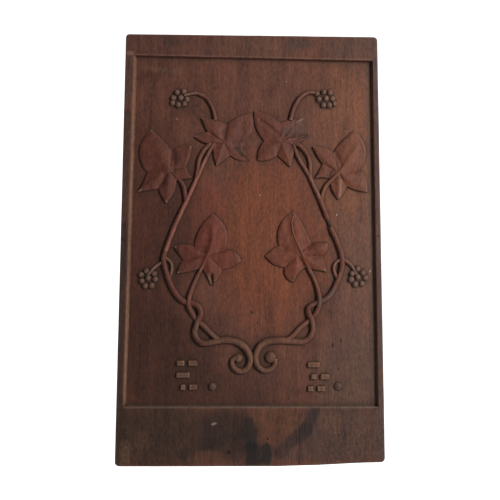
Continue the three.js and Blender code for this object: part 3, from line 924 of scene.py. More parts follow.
    strokes: Sequence[StrokeGroup] = field(default_factory=lambda: [
        StrokeGroup("strokes_left", (-70, -113), [[(0, 8), (11, 20)], [(0, 13)], [(4, 9), (12, 20)]]),
        StrokeGroup("strokes_right", (53, -115), [[(0, 12)], [(3, 9), (12, 21)], [(0, 6), (9, 17)]]),
    ])
    sharp_degrees: float = 34.0

    def shells(self) -> dict[str, Shell]:
        """Every part of the relief as a closed shell that reaches into the board.

        Returns:
            Leaves, stems, berries and knobs, then strokes, by name.
        """
        berries = [dome for bunch in self.bunches for dome in bunch.domes()]
        made = {one.name: one.build() for one in [*self.leaves, *self.stems, *berries, *self.knobs]}
        for group in self.strokes:
            made.update({f"{group.name}_{k}": shell for k, shell in enumerate(group.shells())})
        return made

    def build(self) -> bpy.types.Object:
        """Join the board and its relief into one closed mesh.

        Returns:
            The finished panel.
        """
        relief = joined([shell.to_object(name) for name, shell in self.shells().items()])
        panel = joined([self.board.build().to_object("carved_wood"), relief])
        panel.data.shade_smooth()
        panel.data.set_sharp_from_angle(angle=math.radians(self.sharp_degrees))
        return panel

    def dress(self, panel: bpy.types.Object, finish: "WoodFinish") -> None:
        """Give the panel its finish and its place in the frame.

        Args:
            panel: The finished panel.
            finish: The wood.
        """
        panel.data.materials.clear()
        panel.data.materials.append(finish.material(self.board))
        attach(panel, BODY)
        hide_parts(NODE)


def joined(objects: Sequence[bpy.types.Object]) -> bpy.types.Object:
    """Union of closed meshes, pair by pair, so that no join handles more than it has to.

    Args:
        objects: The meshes; all but the first are removed.

    Returns:
        The first object with the joined mesh.
    """
    rest = list(objects)
    while len(rest) > 1:
        pairs = [rest[k:k + 2] for k in range(0, len(rest), 2)]
        for pair in pairs:
            if len(pair) == 2:
                union(*pair)
        rest = [pair[0] for pair in pairs]
    return rest[0]


def union(first: bpy.types.Object, second: bpy.types.Object) -> None:
    """Add the second closed mesh to the first, and remove the second.

    Args:
        first: Mesh that keeps the result.
        second: Mesh that is added.
    """
    cut = first.modifiers.new("union", "BOOLEAN")
    cut.operation = "UNION"
    cut.solver = "MANIFOLD"
    cut.object = second
    bpy.context.view_layer.update()
    graph = bpy.context.evaluated_depsgraph_get()
    made = bpy.data.meshes.new_from_object(first.evaluated_get(graph))
    old = first.data
    first.modifiers.clear()
    first.data = made
    made.name = first.name
    bpy.data.meshes.remove(old)
    spent = second.data
    bpy.data.objects.remove(second)
    bpy.data.meshes.remove(spent)


class Socket:
    """A shader socket that takes part in Python expressions; each operator adds a Math node."""

    def __init__(self, graph: "Graph", socket: bpy.types.NodeSocket) -> None:
        """Keep the socket and the graph that it belongs to."""
        self.graph = graph
        self.socket = socket

    def _math(self, operation: str, first: Any, second: Any) -> "Socket":
        """Add a Math node.

        Args:
            operation: Name of the operation.
            first: First operand, a socket or a number.
            second: Second operand.

        Returns:
            Its result.
        """
        return self.graph.node("ShaderNodeMath", {"operation": operation}, {0: first, 1: second})

    def __add__(self, other: Any) -> "Socket":
        """Sum."""
        return self._math("ADD", self, other)

    def __radd__(self, other: Any) -> "Socket":
        """Sum with a number on the left."""
        return self._math("ADD", other, self)

    def __sub__(self, other: Any) -> "Socket":
        """Difference."""
        return self._math("SUBTRACT", self, other)

    def __rsub__(self, other: Any) -> "Socket":
        """Difference from a number on the left."""
        return self._math("SUBTRACT", other, self)

    def __mul__(self, other: Any) -> "Socket":
        """Product."""
        return self._math("MULTIPLY", self, other)

    def __rmul__(self, other: Any) -> "Socket":
        """Product with a number on the left."""
        return self._math("MULTIPLY", other, self)

    def __truediv__(self, other: Any) -> "Socket":
        """Quotient."""
        return self._math("DIVIDE", self, other)

    def __rtruediv__(self, other: Any) -> "Socket":
        """Quotient of a number on the left."""
        return self._math("DIVIDE", other, self)

    def high(self, other: Any) -> "Socket":
        """The larger of two values."""
        return self._math("MAXIMUM", self, other)

    def low(self, other: Any) -> "Socket":
        """The smaller of two values."""
        return self._math("MINIMUM", self, other)

    def size(self) -> "Socket":
        """The value without its sign."""
        return self._math("ABSOLUTE", self, 0.0)


class Graph:
    """A material's node tree, with one method that adds any node."""

    def __init__(self, name: str) -> None:
        """Start an empty material.

        Args:
            name: Its name.
        """
        self.material = bpy.data.materials.new(name)
        self.material.use_nodes = True
        self.tree = self.material.node_tree
        self.tree.nodes.clear()

    def node(self, kind: str, settings: dict[str, Any], inputs: dict[Any, Any], output: Any = 0) -> Socket:
        """Add a node, set it up and link it.

        Args:
            kind: The node's type.
            settings: Its own settings, made before anything is linked.
            inputs: Values or sockets for its inputs, by name or number.
            output: Name or number of the output to use.

        Returns:
            That output, or the first input where there is no output.
        """
        made = self.tree.nodes.new(kind)
        for name, value in settings.items():
            setattr(made, name, value)
        for name, value in inputs.items():
            if isinstance(value, Socket):
                self.tree.links.new(value.socket, made.inputs[name])
            elif isinstance(value, tuple) and made.inputs[name].type == "RGBA":
                made.inputs[name].default_value = (*value, 1.0)
            else:
                made.inputs[name].default_value = value
        return Socket(self, made.outputs[output] if len(made.outputs) else made.inputs[0])

    def blend(self, share: Any, first: Any, second: Any) -> Socket:
        """Mix two colours by a share.

        Args:
            share: Share of the second colour.
            first: First colour, a socket or three numbers.
            second: Second colour.

        Returns:
            The mixed colour.
        """
        return self.node("ShaderNodeMix", {"data_type": "RGBA"}, {0: share, 6: first, 7: second}, 2)

    def scaled(self, colour: Socket, share: Any) -> Socket:
        """Brighten or darken a colour by a share."""
        return self.node("ShaderNodeVectorMath", {"operation": "SCALE"}, {0: colour, "Scale": share})

    def tinted(self, colour: Socket, tint: Socket) -> Socket:
        """Multiply a colour by another, channel by channel."""
        return self.node("ShaderNodeVectorMath", {"operation": "MULTIPLY"}, {0: colour, 1: tint})

    def fade(self, value: Socket, start: float, end: float) -> Socket:
        """Ease from 0 to 1 as a value goes from start to end, whichever of the two is larger.

        Args:
            value: The value.
            start: Where the result is 0.
            end: Where the result is 1.

        Returns:
            The eased share, held beyond both ends.
        """
        low, high = min(start, end), max(start, end)
        rising = float(start < end)
        return self.node("ShaderNodeMapRange", {"interpolation_type": "SMOOTHSTEP"}, {
            "Value": value, "From Min": low, "From Max": high, "To Min": 1 - rising, "To Max": rising})

    def finish(self, shader: Socket) -> bpy.types.Material:
        """Put the shader on the surface and hand out the material."""
        self.node("ShaderNodeOutputMaterial", {}, {"Surface": shader})
        return self.material


class Layer(Enum):
    """Part of the front that a mark keeps to."""

    FRONT = "front"
    BORDER = "border"
    FIELD = "field"
    FLOOR = "floor"
    RELIEF = "relief"


@dataclass(frozen=True)
class Mark:
    """A soft-edged mark on the front: an oval or, when it runs to another place, a band.

    half gives its half sizes, cover how strongly it hides the wood, stray how far its edge wanders.
    """

    at: Pair
    half: Pair
    colour: Rgb
    cover: float
    stray: float = 0.0
    layer: Layer = Layer.FRONT
    to: Pair | None = None


BORDER, FIELD, ON_FLOOR, RELIEF = Layer.BORDER, Layer.FIELD, Layer.FLOOR, Layer.RELIEF


@dataclass(frozen=True)
class Streak:
    """A noise drawn out along the grain: its size across and along it, layers of detail and shift."""

    across: float
    along: float
    detail: float
    shift: float
    roughness: float = 0.6
    distortion: float = 0.3


@dataclass(frozen=True)
class WoodFinish:
    """Old dark wood: upright grain and pores, dirt and painted shade in corners, wear and painted highlights
    on what stands up, stains and specks.

    patches are the large changes of colour under the carving's own tint; marks lie over both, and a few of
    them are painted highlights and painted shade. The shares say how much each streak adds to brightness,
    hue, roughness or height. A range is where a change starts and where it is complete, a reach how far the
    surface is felt for hollows, a cover how strongly a colour hides what lies under it.
    """

    name: str = "old_dark_wood"
    figure: Streak = Streak(9.0, 130.0, 4.0, 3.1)
    grain: Streak = Streak(1.8, 30.0, 3.0, 7.7)
    fine: Streak = Streak(1.5, 4.0, 2.0, 5.9)
    pores: Streak = Streak(0.6, 4.5, 1.0, 1.3)
    cloud: Streak = Streak(26.0, 34.0, 5.0, 2.2)
    blotch: Streak = Streak(4.0, 6.0, 3.0, 8.4)
    flecks: Streak = Streak(1.2, 2.0, 2.0, 6.3)
    stray: Streak = Streak(20.0, 20.0, 3.0, 4.6)
    figure_shade: float = 0.7
    grain_shade: float = 0.8
    fine_shade: float = 1.25
    cloud_shade: float = 0.4
    blotch_shade: float = 0.3
    shade_level: float = 0.725
    pit_range: Pair = (0.40, 0.28)
    pit_cover: float = 0.22
    blotch_hue: float = 0.6
    figure_hue: float = 0.4
    hue_range: Pair = (0.35, 0.65)
    deep_range: Pair = (0.5, 0.25)
    deep_cover: float = 0.4
    carved_cover: float = 0.45
    mark_range: Pair = (1.2, 0.15)
    # Grime and painted shade round the relief: a dark colour laid where the surface is hemmed in within the
    # reach, less on the relief itself.
    grime_and_shade_reach: float = 9.0
    grime_and_shade_cloud: float = 0.2
    grime_and_shade_range: Pair = (1.06, 0.70)
    grime_and_shade_cover: float = 0.7
    relief_halo_cut: float = 0.7
    side_grime: float = 0.6
    # Dirt and painted shade in tight corners.
    dirt_and_shade_reach: float = 2.2
    dirt_and_shade_range: Pair = (0.85, 0.45)
    dirt_and_shade_cover: float = 0.45
    # Pale colour on raised edges: rubbing wear and painted highlight.
    rub_highlight_reach: float = 2.6
    rub_highlight_range: Pair = (0.90, 0.60)
    rub_highlight_heights: Pair = (0.6, 1.6)
    rub_highlight_blotch: Pair = (0.25, 0.55)
    rub_highlight_cover: float = 0.75
    fleck_up: Pair = (-155.0, -175.0)
    fleck_out: Pair = (45.0, 85.0)
    fleck_strength: float = 1.5
    front_depths: Pair = (3.0, 1.0)
    rim_range: Pair = (-0.5, 0.4)
    relief_heights: Pair = (0.6, 1.4)
    roughness: float = 0.50
    cloud_roughness: float = 0.14
    fine_roughness: float = 0.12
    dirt_roughness: float = 0.2
    specular: float = 0.32
    grain_height: float = 0.12
    pore_height: float = 0.14
    fine_height: float = 0.14
    cloud_height: float = 0.06
    bump_strength: float = 0.6
    bump_distance: float = 1.0
    hollow_samples: int = 10
    body: Rgb = (0.167, 0.064, 0.040)
    deep: Rgb = (0.068, 0.028, 0.019)
    carved: Rgb = (0.186, 0.053, 0.034)
    cool: Rgb = (0.96, 0.99, 1.16)
    warm: Rgb = (1.05, 1.02, 0.98)
    # Dark colour of grime and painted shade.
    grime_and_shade: Rgb = (0.056, 0.033, 0.022)
    # Dark colour of dirt and painted shade in corners.
    dirt_and_shade: Rgb = (0.020, 0.014, 0.010)
    # Pale colour of rubbed edges, which also serves as a painted highlight.
    worn: Rgb = (0.360, 0.215, 0.150)
    patches: tuple[Mark, ...] = (
        Mark((112, 0), (42, 180), (0.195, 0.087, 0.058), 0.85, 14, FIELD),
        Mark((92, 100), (46, 108), (0.236, 0.090, 0.046), 0.8, 14, FIELD),
        Mark((98, -126), (46, 52), (0.150, 0.081, 0.055), 0.75, 10, FIELD),
        Mark((20, 3), (66, 98), (0.258, 0.077, 0.035), 0.9, 16, FIELD),
        Mark((-48, 28), (26, 46), (0.225, 0.063, 0.038), 0.75, 8, FIELD),
        # Darker towards the left and the lower left.
        Mark((-105, 20), (66, 120), (0.091, 0.031, 0.019), 0.85, 16, FIELD),
        Mark((-95, -105), (70, 62), (0.068, 0.025, 0.015), 0.85, 12, FIELD),
        Mark((-40, -142), (80, 28), (0.074, 0.030, 0.018), 0.7, 10, FIELD),
        Mark((10, -122), (34, 24), (0.112, 0.046, 0.030), 0.5, 8, FIELD),
        Mark((122, -205), (6, 6), (0.115, 0.069, 0.056), 0.9, 2, BORDER, (122, 205)),
        Mark((-122, 12), (6, 8), (0.092, 0.047, 0.033), 0.85, 2, BORDER, (-122, 125)),
        Mark((-122, 140), (6, 8), (0.125, 0.066, 0.045), 0.85, 2, BORDER, (-122, 200)),
        Mark((-122, -200), (6, 14), (0.062, 0.034, 0.025), 0.85, 2, BORDER, (-122, 8)),
        Mark((-110, 196), (24, 15), (0.136, 0.057, 0.040), 0.8, 6, BORDER, (-60, 196)),
        Mark((0, 196), (56, 15), (0.148, 0.066, 0.044), 0.85, 8, BORDER),
        Mark((48, 199), (18, 8), (0.096, 0.055, 0.042), 0.7, 6, BORDER),
        Mark((98, 195), (32, 15), (0.138, 0.068, 0.046), 0.85, 8, BORDER),
        Mark((-88, -180), (62, 42), (0.064, 0.034, 0.021), 0.9, 8, BORDER),
        Mark((-20, -178), (38, 30), (0.041, 0.023, 0.017), 0.85, 8, BORDER),
        Mark((82, -178), (52, 34), (0.102, 0.056, 0.040), 0.85, 8, BORDER),
    )
    marks: tuple[Mark, ...] = (
        Mark((26, -166), (32, 15), (0.145, 0.060, 0.031), 0.8, 5, BORDER),
        Mark((20, -181), (15, 13), (0.135, 0.056, 0.030), 0.75, 4, BORDER),
        Mark((61, -156), (6, 6), (0.050, 0.032, 0.027), 0.75, 4, BORDER, (51, -174)),
        Mark((51, -174), (7, 7), (0.044, 0.029, 0.025), 0.75, 4, BORDER, (26, -195)),
        Mark((-1, -168), (6, 6), (0.026, 0.021, 0.018), 0.75, 4, BORDER, (0, -188)),
        Mark((2, -192), (9, 9), (0.014, 0.015, 0.014), 0.85, 4, BORDER, (3, -204)),
        Mark((14.5, -191), (6, 6), (0.014, 0.016, 0.015), 0.9, 4, BORDER, (14, -203)),
        Mark((-64, -198), (5, 5), (0.040, 0.024, 0.018), 0.45, 6, BORDER, (-43, -188)),
        Mark((-43, -188), (5, 5), (0.038, 0.024, 0.018), 0.45, 6, BORDER, (0, -175)),
        Mark((-39, -198), (17, 8), (0.135, 0.058, 0.033), 0.7, 5, BORDER),
        Mark((42, -197), (18, 8), (0.120, 0.062, 0.042), 0.7, 5, BORDER),
        Mark((76, -168), (12, 12), (0.165, 0.080, 0.050), 0.6, 5, BORDER),
        Mark((-116, -196), (7, 14), (0.165, 0.086, 0.048), 0.6, 4, BORDER),
        Mark((-100, -184), (9, 12), (0.110, 0.054, 0.033), 0.6, 5, BORDER),
        Mark((-80, 200), (9, 6), (0.075, 0.045, 0.034), 0.6, 4, BORDER),
        Mark((25, 195), (8, 12), (0.215, 0.090, 0.055), 0.6, 4, BORDER),
        Mark((-120, 187.5), (4.5, 2.8), (0.300, 0.165, 0.105), 0.65, 1, BORDER),
        Mark((-107, 174), (4, 3), (0.190, 0.095, 0.058), 0.5, 3, ON_FLOOR, (-70, 172)),
        Mark((106, 80), (9, 9), (0.255, 0.095, 0.050), 0.55, 4, FIELD, (104, 150)),
        Mark((116.5, -150), (4, 4), (0.115, 0.080, 0.058), 0.5, 1.5, ON_FLOOR, (116.5, 178)),
        # Painted highlight along the lit left wall of the field.
        Mark((-117.6, -150), (1.4, 2), (0.370, 0.205, 0.125), 0.6, 0.5, FIELD, (-114.9, 184)),
        # Painted shade on the left flank of the upper-left leaf's right lobe.
        Mark((-72, 80), (5, 13), (0.090, 0.040, 0.036), 0.45, 2, RELIEF),
        Mark((-70.5, 143), (13, 13), (0.205, 0.125, 0.092), 0.55, 4, RELIEF),
        # Painted shade on the floor between and round the berries.
        Mark((-70.5, 143), (11.5, 11.5), (0.042, 0.025, 0.018), 0.75, 2, ON_FLOOR),
        Mark((73, 143), (14, 13), (0.200, 0.130, 0.100), 0.6, 4, RELIEF),
        # Painted shade on the floor between and round the berries.
        Mark((73, 143), (11.5, 11.5), (0.042, 0.025, 0.018), 0.75, 2, ON_FLOOR),
        Mark((-98, -33), (13, 13), (0.135, 0.086, 0.066), 0.55, 4, RELIEF),
        # Painted shade on the floor between and round the berries.
        Mark((-98, -33), (11.5, 11.5), (0.042, 0.025, 0.018), 0.75, 2, ON_FLOOR),
        Mark((102, -32), (13, 13), (0.200, 0.130, 0.105), 0.6, 4, RELIEF),
        # Painted shade on the floor between and round the berries.
        Mark((102, -32), (11.5, 11.5), (0.042, 0.025, 0.018), 0.75, 2, ON_FLOOR),
        Mark((-36, -135), (6, 6), (0.110, 0.076, 0.058), 0.6, 1, RELIEF),
        Mark((82.5, -135), (6, 6), (0.130, 0.092, 0.070), 0.6, 1, RELIEF),
        Mark((3, -106), (36, 26), (0.205, 0.112, 0.062), 0.55, 6, RELIEF),
        Mark((-54, -78), (9, 9), (0.200, 0.108, 0.062), 0.5, 4, RELIEF, (-32, -94)),
        Mark((58, -80), (9, 9), (0.215, 0.110, 0.064), 0.4, 4, RELIEF, (36, -94)),
        Mark((47, 114), (11, 9), (0.150, 0.086, 0.058), 0.45, 3, FIELD),
        Mark((53, 106.5), (7, 3.5), (0.060, 0.036, 0.028), 0.6, 2, FIELD),
        Mark((34.5, 109), (3.5, 6), (0.060, 0.040, 0.033), 0.6, 1, FIELD),
        # Painted shade and dirt in the hollow beside the upper-right leaf's stalk.
        Mark((75.5, 69), (4, 5), (0.070, 0.036, 0.022), 0.4, 1, FIELD),
        # Painted highlight on the lit right side of the upper-right leaf's bottom lobe, with a brighter line
        # on its ridge.
        Mark((88, 52), (3, 3), (0.300, 0.135, 0.070), 0.4, 1, RELIEF, (86, 44)),
        Mark((87.0, 62), (1.4, 1.4), (0.400, 0.190, 0.100), 0.5, 0.3, RELIEF, (86.2, 46)),
        Mark((-28, 108.5), (2.2, 4.5), (0.080, 0.044, 0.036), 0.5, 1, FIELD),
        Mark((-14.5, 93.5), (2.4, 2.4), (0.032, 0.014, 0.010), 0.7, 1, FIELD, (-9, 87)),
        Mark((-9, 87), (1.5, 1.5), (0.034, 0.015, 0.011), 0.7, 0.6, FIELD, (-2.8, 81)),
        Mark((-37.9, -32), (1.5, 1.5), (0.020, 0.011, 0.009), 0.75, 0.4, FIELD, (-37, -40)),
        Mark((-40, -2), (30, 32), (0.190, 0.046, 0.027), 0.5, 4, RELIEF),
        Mark((44.5, 120.3), (0.9, 0.9), (0.300, 0.200, 0.160), 0.6, 0.4, FIELD, (50.8, 124.3)),
        Mark((-34.8, -169.3), (2.2, 1.3), (0.300, 0.240, 0.200), 0.8, 0.0, BORDER, (-33.6, -168.5)),
        Mark((-20, -194.5), (2.3, 2.3), (0.010, 0.010, 0.009), 0.9, 0.3, BORDER),
        Mark((15.7, -182.3), (1.2, 1.7), (0.008, 0.006, 0.005), 0.9, 0.3, BORDER),
        Mark((45, -155), (0.45, 1), (0.015, 0.010, 0.008), 0.65, 0.6, BORDER, (45, -206)),
        Mark((8.7, 47.4), (0.8, 0.9), (0.600, 0.460, 0.380), 0.8),
        Mark((83, 28.3), (0.5, 1.5), (0.700, 0.600, 0.520), 0.9),
        Mark((34.3, 162), (0.8, 0.8), (0.500, 0.400, 0.340), 0.6),
        Mark((-73.3, 122.6), (0.9, 0.7), (0.500, 0.340, 0.260), 0.8),
        Mark((113.9, -26.8), (0.5, 0.5), (0.600, 0.520, 0.460), 0.8, 0.0, FIELD, (115.4, -24.9)),
        Mark((73.6, 22.5), (2.2, 2.2), (0.012, 0.013, 0.011), 0.95, 0.5, FIELD, (75.6, 17.5)),
        Mark((77.7, -96.8), (1.2, 2.9), (0.018, 0.013, 0.010), 0.85, 0.4),
        Mark((85.8, -92.2), (1.1, 2.2), (0.020, 0.014, 0.010), 0.8, 0.4),
        Mark((82.4, -119.4), (1.0, 1.2), (0.018, 0.013, 0.010), 0.8, 0.3),
        Mark((1, -66), (1.1, 1.9), (0.024, 0.014, 0.010), 0.8, 0.4),
        Mark((6, -75.5), (1.0, 1.4), (0.024, 0.014, 0.010), 0.8, 0.3),
        # Painted highlights along the lit right flanks of the two main stems.
        Mark((-44, 82), (1.7, 1.7), (0.340, 0.120, 0.080), 0.7, 0.4, RELIEF, (-63.2, 38.5)),
        Mark((-63.2, 38.5), (1.7, 1.7), (0.340, 0.120, 0.080), 0.7, 0.4, RELIEF, (-81.2, -7)),
        Mark((47, 83), (1.6, 1.6), (0.290, 0.130, 0.090), 0.55, 0.4, RELIEF, (66.3, 45.5)),
        Mark((79, -45), (4, 4), (0.150, 0.110, 0.088), 0.5, 1, RELIEF, (64, -57)),
        Mark((-60, -124), (15, 17), (0.200, 0.118, 0.070), 0.6, 2, RELIEF),
        Mark((64, -127), (15, 17), (0.230, 0.128, 0.074), 0.6, 2, RELIEF),
        Mark((-22, -50.5), (1.0, 1.0), (0.030, 0.016, 0.011), 0.7, 0.3),
        Mark((122, 7.5), (1.6, 1.0), (0.012, 0.009, 0.007), 0.8, 0.3),
        # Pale line along the bottom ledge: dust and painted highlight on its upward face.
        Mark((-116, -153.2), (1, 0.8), (0.230, 0.180, 0.138), 0.75, 0.0, Layer.FRONT, (117, -153.2)),
    )

    def material(self, board: Board) -> bpy.types.Material:
        """Lay the finish on a board.

        Args:
            board: The board whose rims part the border from the field.

        Returns:
            The material.
        """
        return WoodShader(self, board).material()


class WoodShader:
    """The node tree of a wood finish, laid down layer by layer; lengths in it are millimetres."""

    def __init__(self, finish: WoodFinish, board: Board) -> None:
        """Read the place on the board and work out the noises and the parts of the front.

        Args:
            finish: The colours and marks.
            board: The board whose rims part the border from the field.
        """
        self.finish = finish
        self.graph = Graph(finish.name)
        self.place = self.graph.node("ShaderNodeTexCoord", {}, {}, "Object")
        self.x = self._axis(self.place, "X") * (1 / MM)
        self.y = self._axis(self.place, "Z") * (1 / MM)
        self.out = self._axis(self.place, "Y") * (-1 / MM)
        self.figure = self._noise(finish.figure)
        self.grain = self._noise(finish.grain)
        self.fine = self._noise(finish.fine)
        self.pores = self._noise(finish.pores)
        self.cloud = self._noise(finish.cloud)
        self.blotch = self._noise(finish.blotch)
        self.flecks = self._noise(finish.flecks)
        stray = self._noise(finish.stray, "Color")
        self.stray_x = self._axis(stray, "X") * 2.0 - 1.0
        self.stray_y = self._axis(stray, "Y") * 2.0 - 1.0
        self.parts = self._parts(board)

    def _axis(self, vector: Socket, axis: str) -> Socket:
        """One component of a vector."""
        return self.graph.node("ShaderNodeSeparateXYZ", {}, {0: vector}, axis)

    def _noise(self, streak: Streak, output: str = "Fac") -> Socket:
        """Noise drawn out along the grain.

        Args:
            streak: Its sizes, detail and shift.
            output: Which output to use.

        Returns:
            The noise.
        """
        across = 1 / (streak.across * MM)
        lie = self.graph.node("ShaderNodeMapping", {}, {
            "Vector": self.place, "Location": (streak.shift, streak.shift, streak.shift),
            "Scale": (across, across, 1 / (streak.along * MM))})
        return self.graph.node("ShaderNodeTexNoise", {}, {
            "Vector": lie, "Scale": 1.0, "Detail": streak.detail, "Roughness": streak.roughness,
            "Distortion": streak.distortion}, output)

    def _parts(self, board: Board) -> dict[Layer, Socket]:
        """Masks of the parts of the front, from the rim lines and the height above the back.

        Args:
            board: The board with its rims.

        Returns:
            One mask for each part.
        """
        def line(along: Socket, start: Pair, end: Pair) -> Socket:
            """Straight line through two places, as a function of the way along."""
            slope = (end[1] - start[1]) / (end[0] - start[0])
            return along * slope + (start[1] - slope * start[0])

        left = line(self.y, (board.rim_bottom[0], board.rim_left[0]), (board.rim_top[0], board.rim_left[1]))
        ends = (board.left_middle(), board.rim_right)
        bottom = line(self.x, (ends[0], board.rim_bottom[0]), (ends[1], board.rim_bottom[1]))
        top = line(self.x, (ends[0], board.rim_top[0]), (ends[1], board.rim_top[1]))
        over = (left - self.x).high(self.x - board.rim_right).high(self.y - top).high(bottom - self.y)
        depths, heights = self.finish.front_depths, self.finish.relief_heights
        front = self.graph.fade(self.out, FLOOR - depths[0], FLOOR - depths[1])
        border = self.graph.fade(over, *self.finish.rim_range) * front
        field_part = front - border
        relief = self.graph.fade(self.out, FLOOR + heights[0], FLOOR + heights[1]) * field_part
        return {Layer.FRONT: front, Layer.BORDER: border, Layer.FIELD: field_part,
                Layer.FLOOR: field_part - relief, Layer.RELIEF: relief}

    def _marked(self, under: Socket, mark: Mark) -> Socket:
        """Lay one mark over a colour.

        Args:
            under: The colour below.
            mark: The mark.

        Returns:
            The colour with the mark.
        """
        dx, dy = self.x - mark.at[0], self.y - mark.at[1]
        if mark.stray:
            dx, dy = dx + self.stray_x * mark.stray, dy + self.stray_y * mark.stray
        if mark.to:
            run_x, run_y = mark.to[0] - mark.at[0], mark.to[1] - mark.at[1]
            share = (dx * run_x + dy * run_y) / (run_x**2 + run_y**2)
            share = share.high(0.0).low(1.0)
            dx, dy = dx - share * run_x, dy - share * run_y
        dx, dy = dx / mark.half[0], dy / mark.half[1]
        inside = self.graph.fade(dx * dx + dy * dy, *self.finish.mark_range)
        return self.graph.blend(inside * self.parts[mark.layer] * mark.cover, under, mark.colour)

    def _hollow(self, reach: float, inside: bool = False) -> Socket:
        """How open the surface is within a reach, or how much wood there is behind it.

        Args:
            reach: How far to feel.
            inside: Whether to feel into the wood.

        Returns:
            A share, 1 where nothing is in the way.
        """
        return self.graph.node("ShaderNodeAmbientOcclusion", {
            "samples": self.finish.hollow_samples, "only_local": True, "inside": inside,
        }, {"Distance": reach * MM}, "AO")

    def _wood(self) -> Socket:
        """Bare wood with its marks, then figure, grain and blotches as changes of brightness and hue.

        Returns:
            The colour.
        """
        graph, finish = self.graph, self.finish
        colour = graph.blend(graph.fade(self.cloud, *finish.deep_range) * finish.deep_cover,
                             finish.body, finish.deep)
        for patch in finish.patches:
            colour = self._marked(colour, patch)
        colour = graph.blend(self.parts[Layer.RELIEF] * finish.carved_cover, colour, finish.carved)
        for mark in finish.marks:
            colour = self._marked(colour, mark)
        shade = (self.figure * finish.figure_shade + self.grain * finish.grain_shade
                 + self.fine * finish.fine_shade + self.cloud * finish.cloud_shade
                 + self.blotch * finish.blotch_shade - finish.shade_level)
        pits = graph.fade(self.pores, *finish.pit_range) * finish.pit_cover
        colour = graph.scaled(colour, shade * (1.0 - pits))
        hue = self.blotch * finish.blotch_hue + self.figure * finish.figure_hue
        hue = graph.fade(hue, *finish.hue_range)
        return graph.tinted(colour, graph.blend(hue, finish.cool, finish.warm))

    def _aged(self, colour: Socket, corners: Socket) -> Socket:
        """Grime and painted shade round the relief, grime on the sides, dirt and painted shade in corners,
        edges rubbed pale with painted highlights, flecks at the foot.

        Args:
            colour: The bare wood.
            corners: Where dirt and painted shade sit.

        Returns:
            The aged colour.
        """
        graph, finish = self.graph, self.finish
        # Grime and painted shade where the surface is hemmed in round the relief.
        grime_and_shade_halo = graph.fade(self._hollow(finish.grime_and_shade_reach) + self.cloud * finish.grime_and_shade_cloud,
                            *finish.grime_and_shade_range)
        grime_and_shade_halo = grime_and_shade_halo * (1.0 - self.parts[Layer.RELIEF] * finish.relief_halo_cut)
        colour = graph.blend(grime_and_shade_halo * finish.grime_and_shade_cover, colour, finish.grime_and_shade)
        # Dirt and painted shade in tight corners.
        colour = graph.blend(corners * finish.dirt_and_shade_cover, colour, finish.dirt_and_shade)
        colour = graph.blend((1.0 - self.parts[Layer.FRONT]) * finish.side_grime, colour, finish.grime_and_shade)
        # Raised edges made pale: rubbing wear and painted highlight.
        raised = graph.fade(self.out, FLOOR + finish.rub_highlight_heights[0], FLOOR + finish.rub_highlight_heights[1])
        rub_highlight = graph.fade(self._hollow(finish.rub_highlight_reach, True), *finish.rub_highlight_range) * raised
        rub_highlight = rub_highlight * graph.fade(self.blotch, *finish.rub_highlight_blotch)
        colour = graph.blend(rub_highlight * finish.rub_highlight_cover, colour, finish.worn)
        ends = graph.fade(self.y, *finish.fleck_up) * graph.fade(self.x.size(), *finish.fleck_out)
        flecks = (self.flecks - 0.5) * ends * self.parts[Layer.BORDER]
        return graph.scaled(colour, 1.0 + flecks * finish.fleck_strength)

    def material(self) -> bpy.types.Material:
        """Join colour, gloss and fine relief in one shader.

        Returns:
            The material.
        """
        graph, finish = self.graph, self.finish
        # Tight hollows, which take dirt and painted shade.
        corners = graph.fade(self._hollow(finish.dirt_and_shade_reach), *finish.dirt_and_shade_range)
        colour = self._aged(self._wood(), corners)
        roughness = (finish.roughness + finish.cloud_roughness * self.cloud
                     + finish.fine_roughness * self.fine + finish.dirt_roughness * corners)
        height = (self.grain * finish.grain_height + self.pores * finish.pore_height
                  + self.fine * finish.fine_height + self.cloud * finish.cloud_height)
        bump = graph.node("ShaderNodeBump", {}, {
            "Strength": finish.bump_strength, "Distance": finish.bump_distance * MM, "Height": height,
        }, "Normal")
        return graph.finish(graph.node("ShaderNodeBsdfPrincipled", {}, {
            "Base Color": colour, "Roughness": roughness, "Normal": bump,
            "Specular IOR Level": finish.specular}))


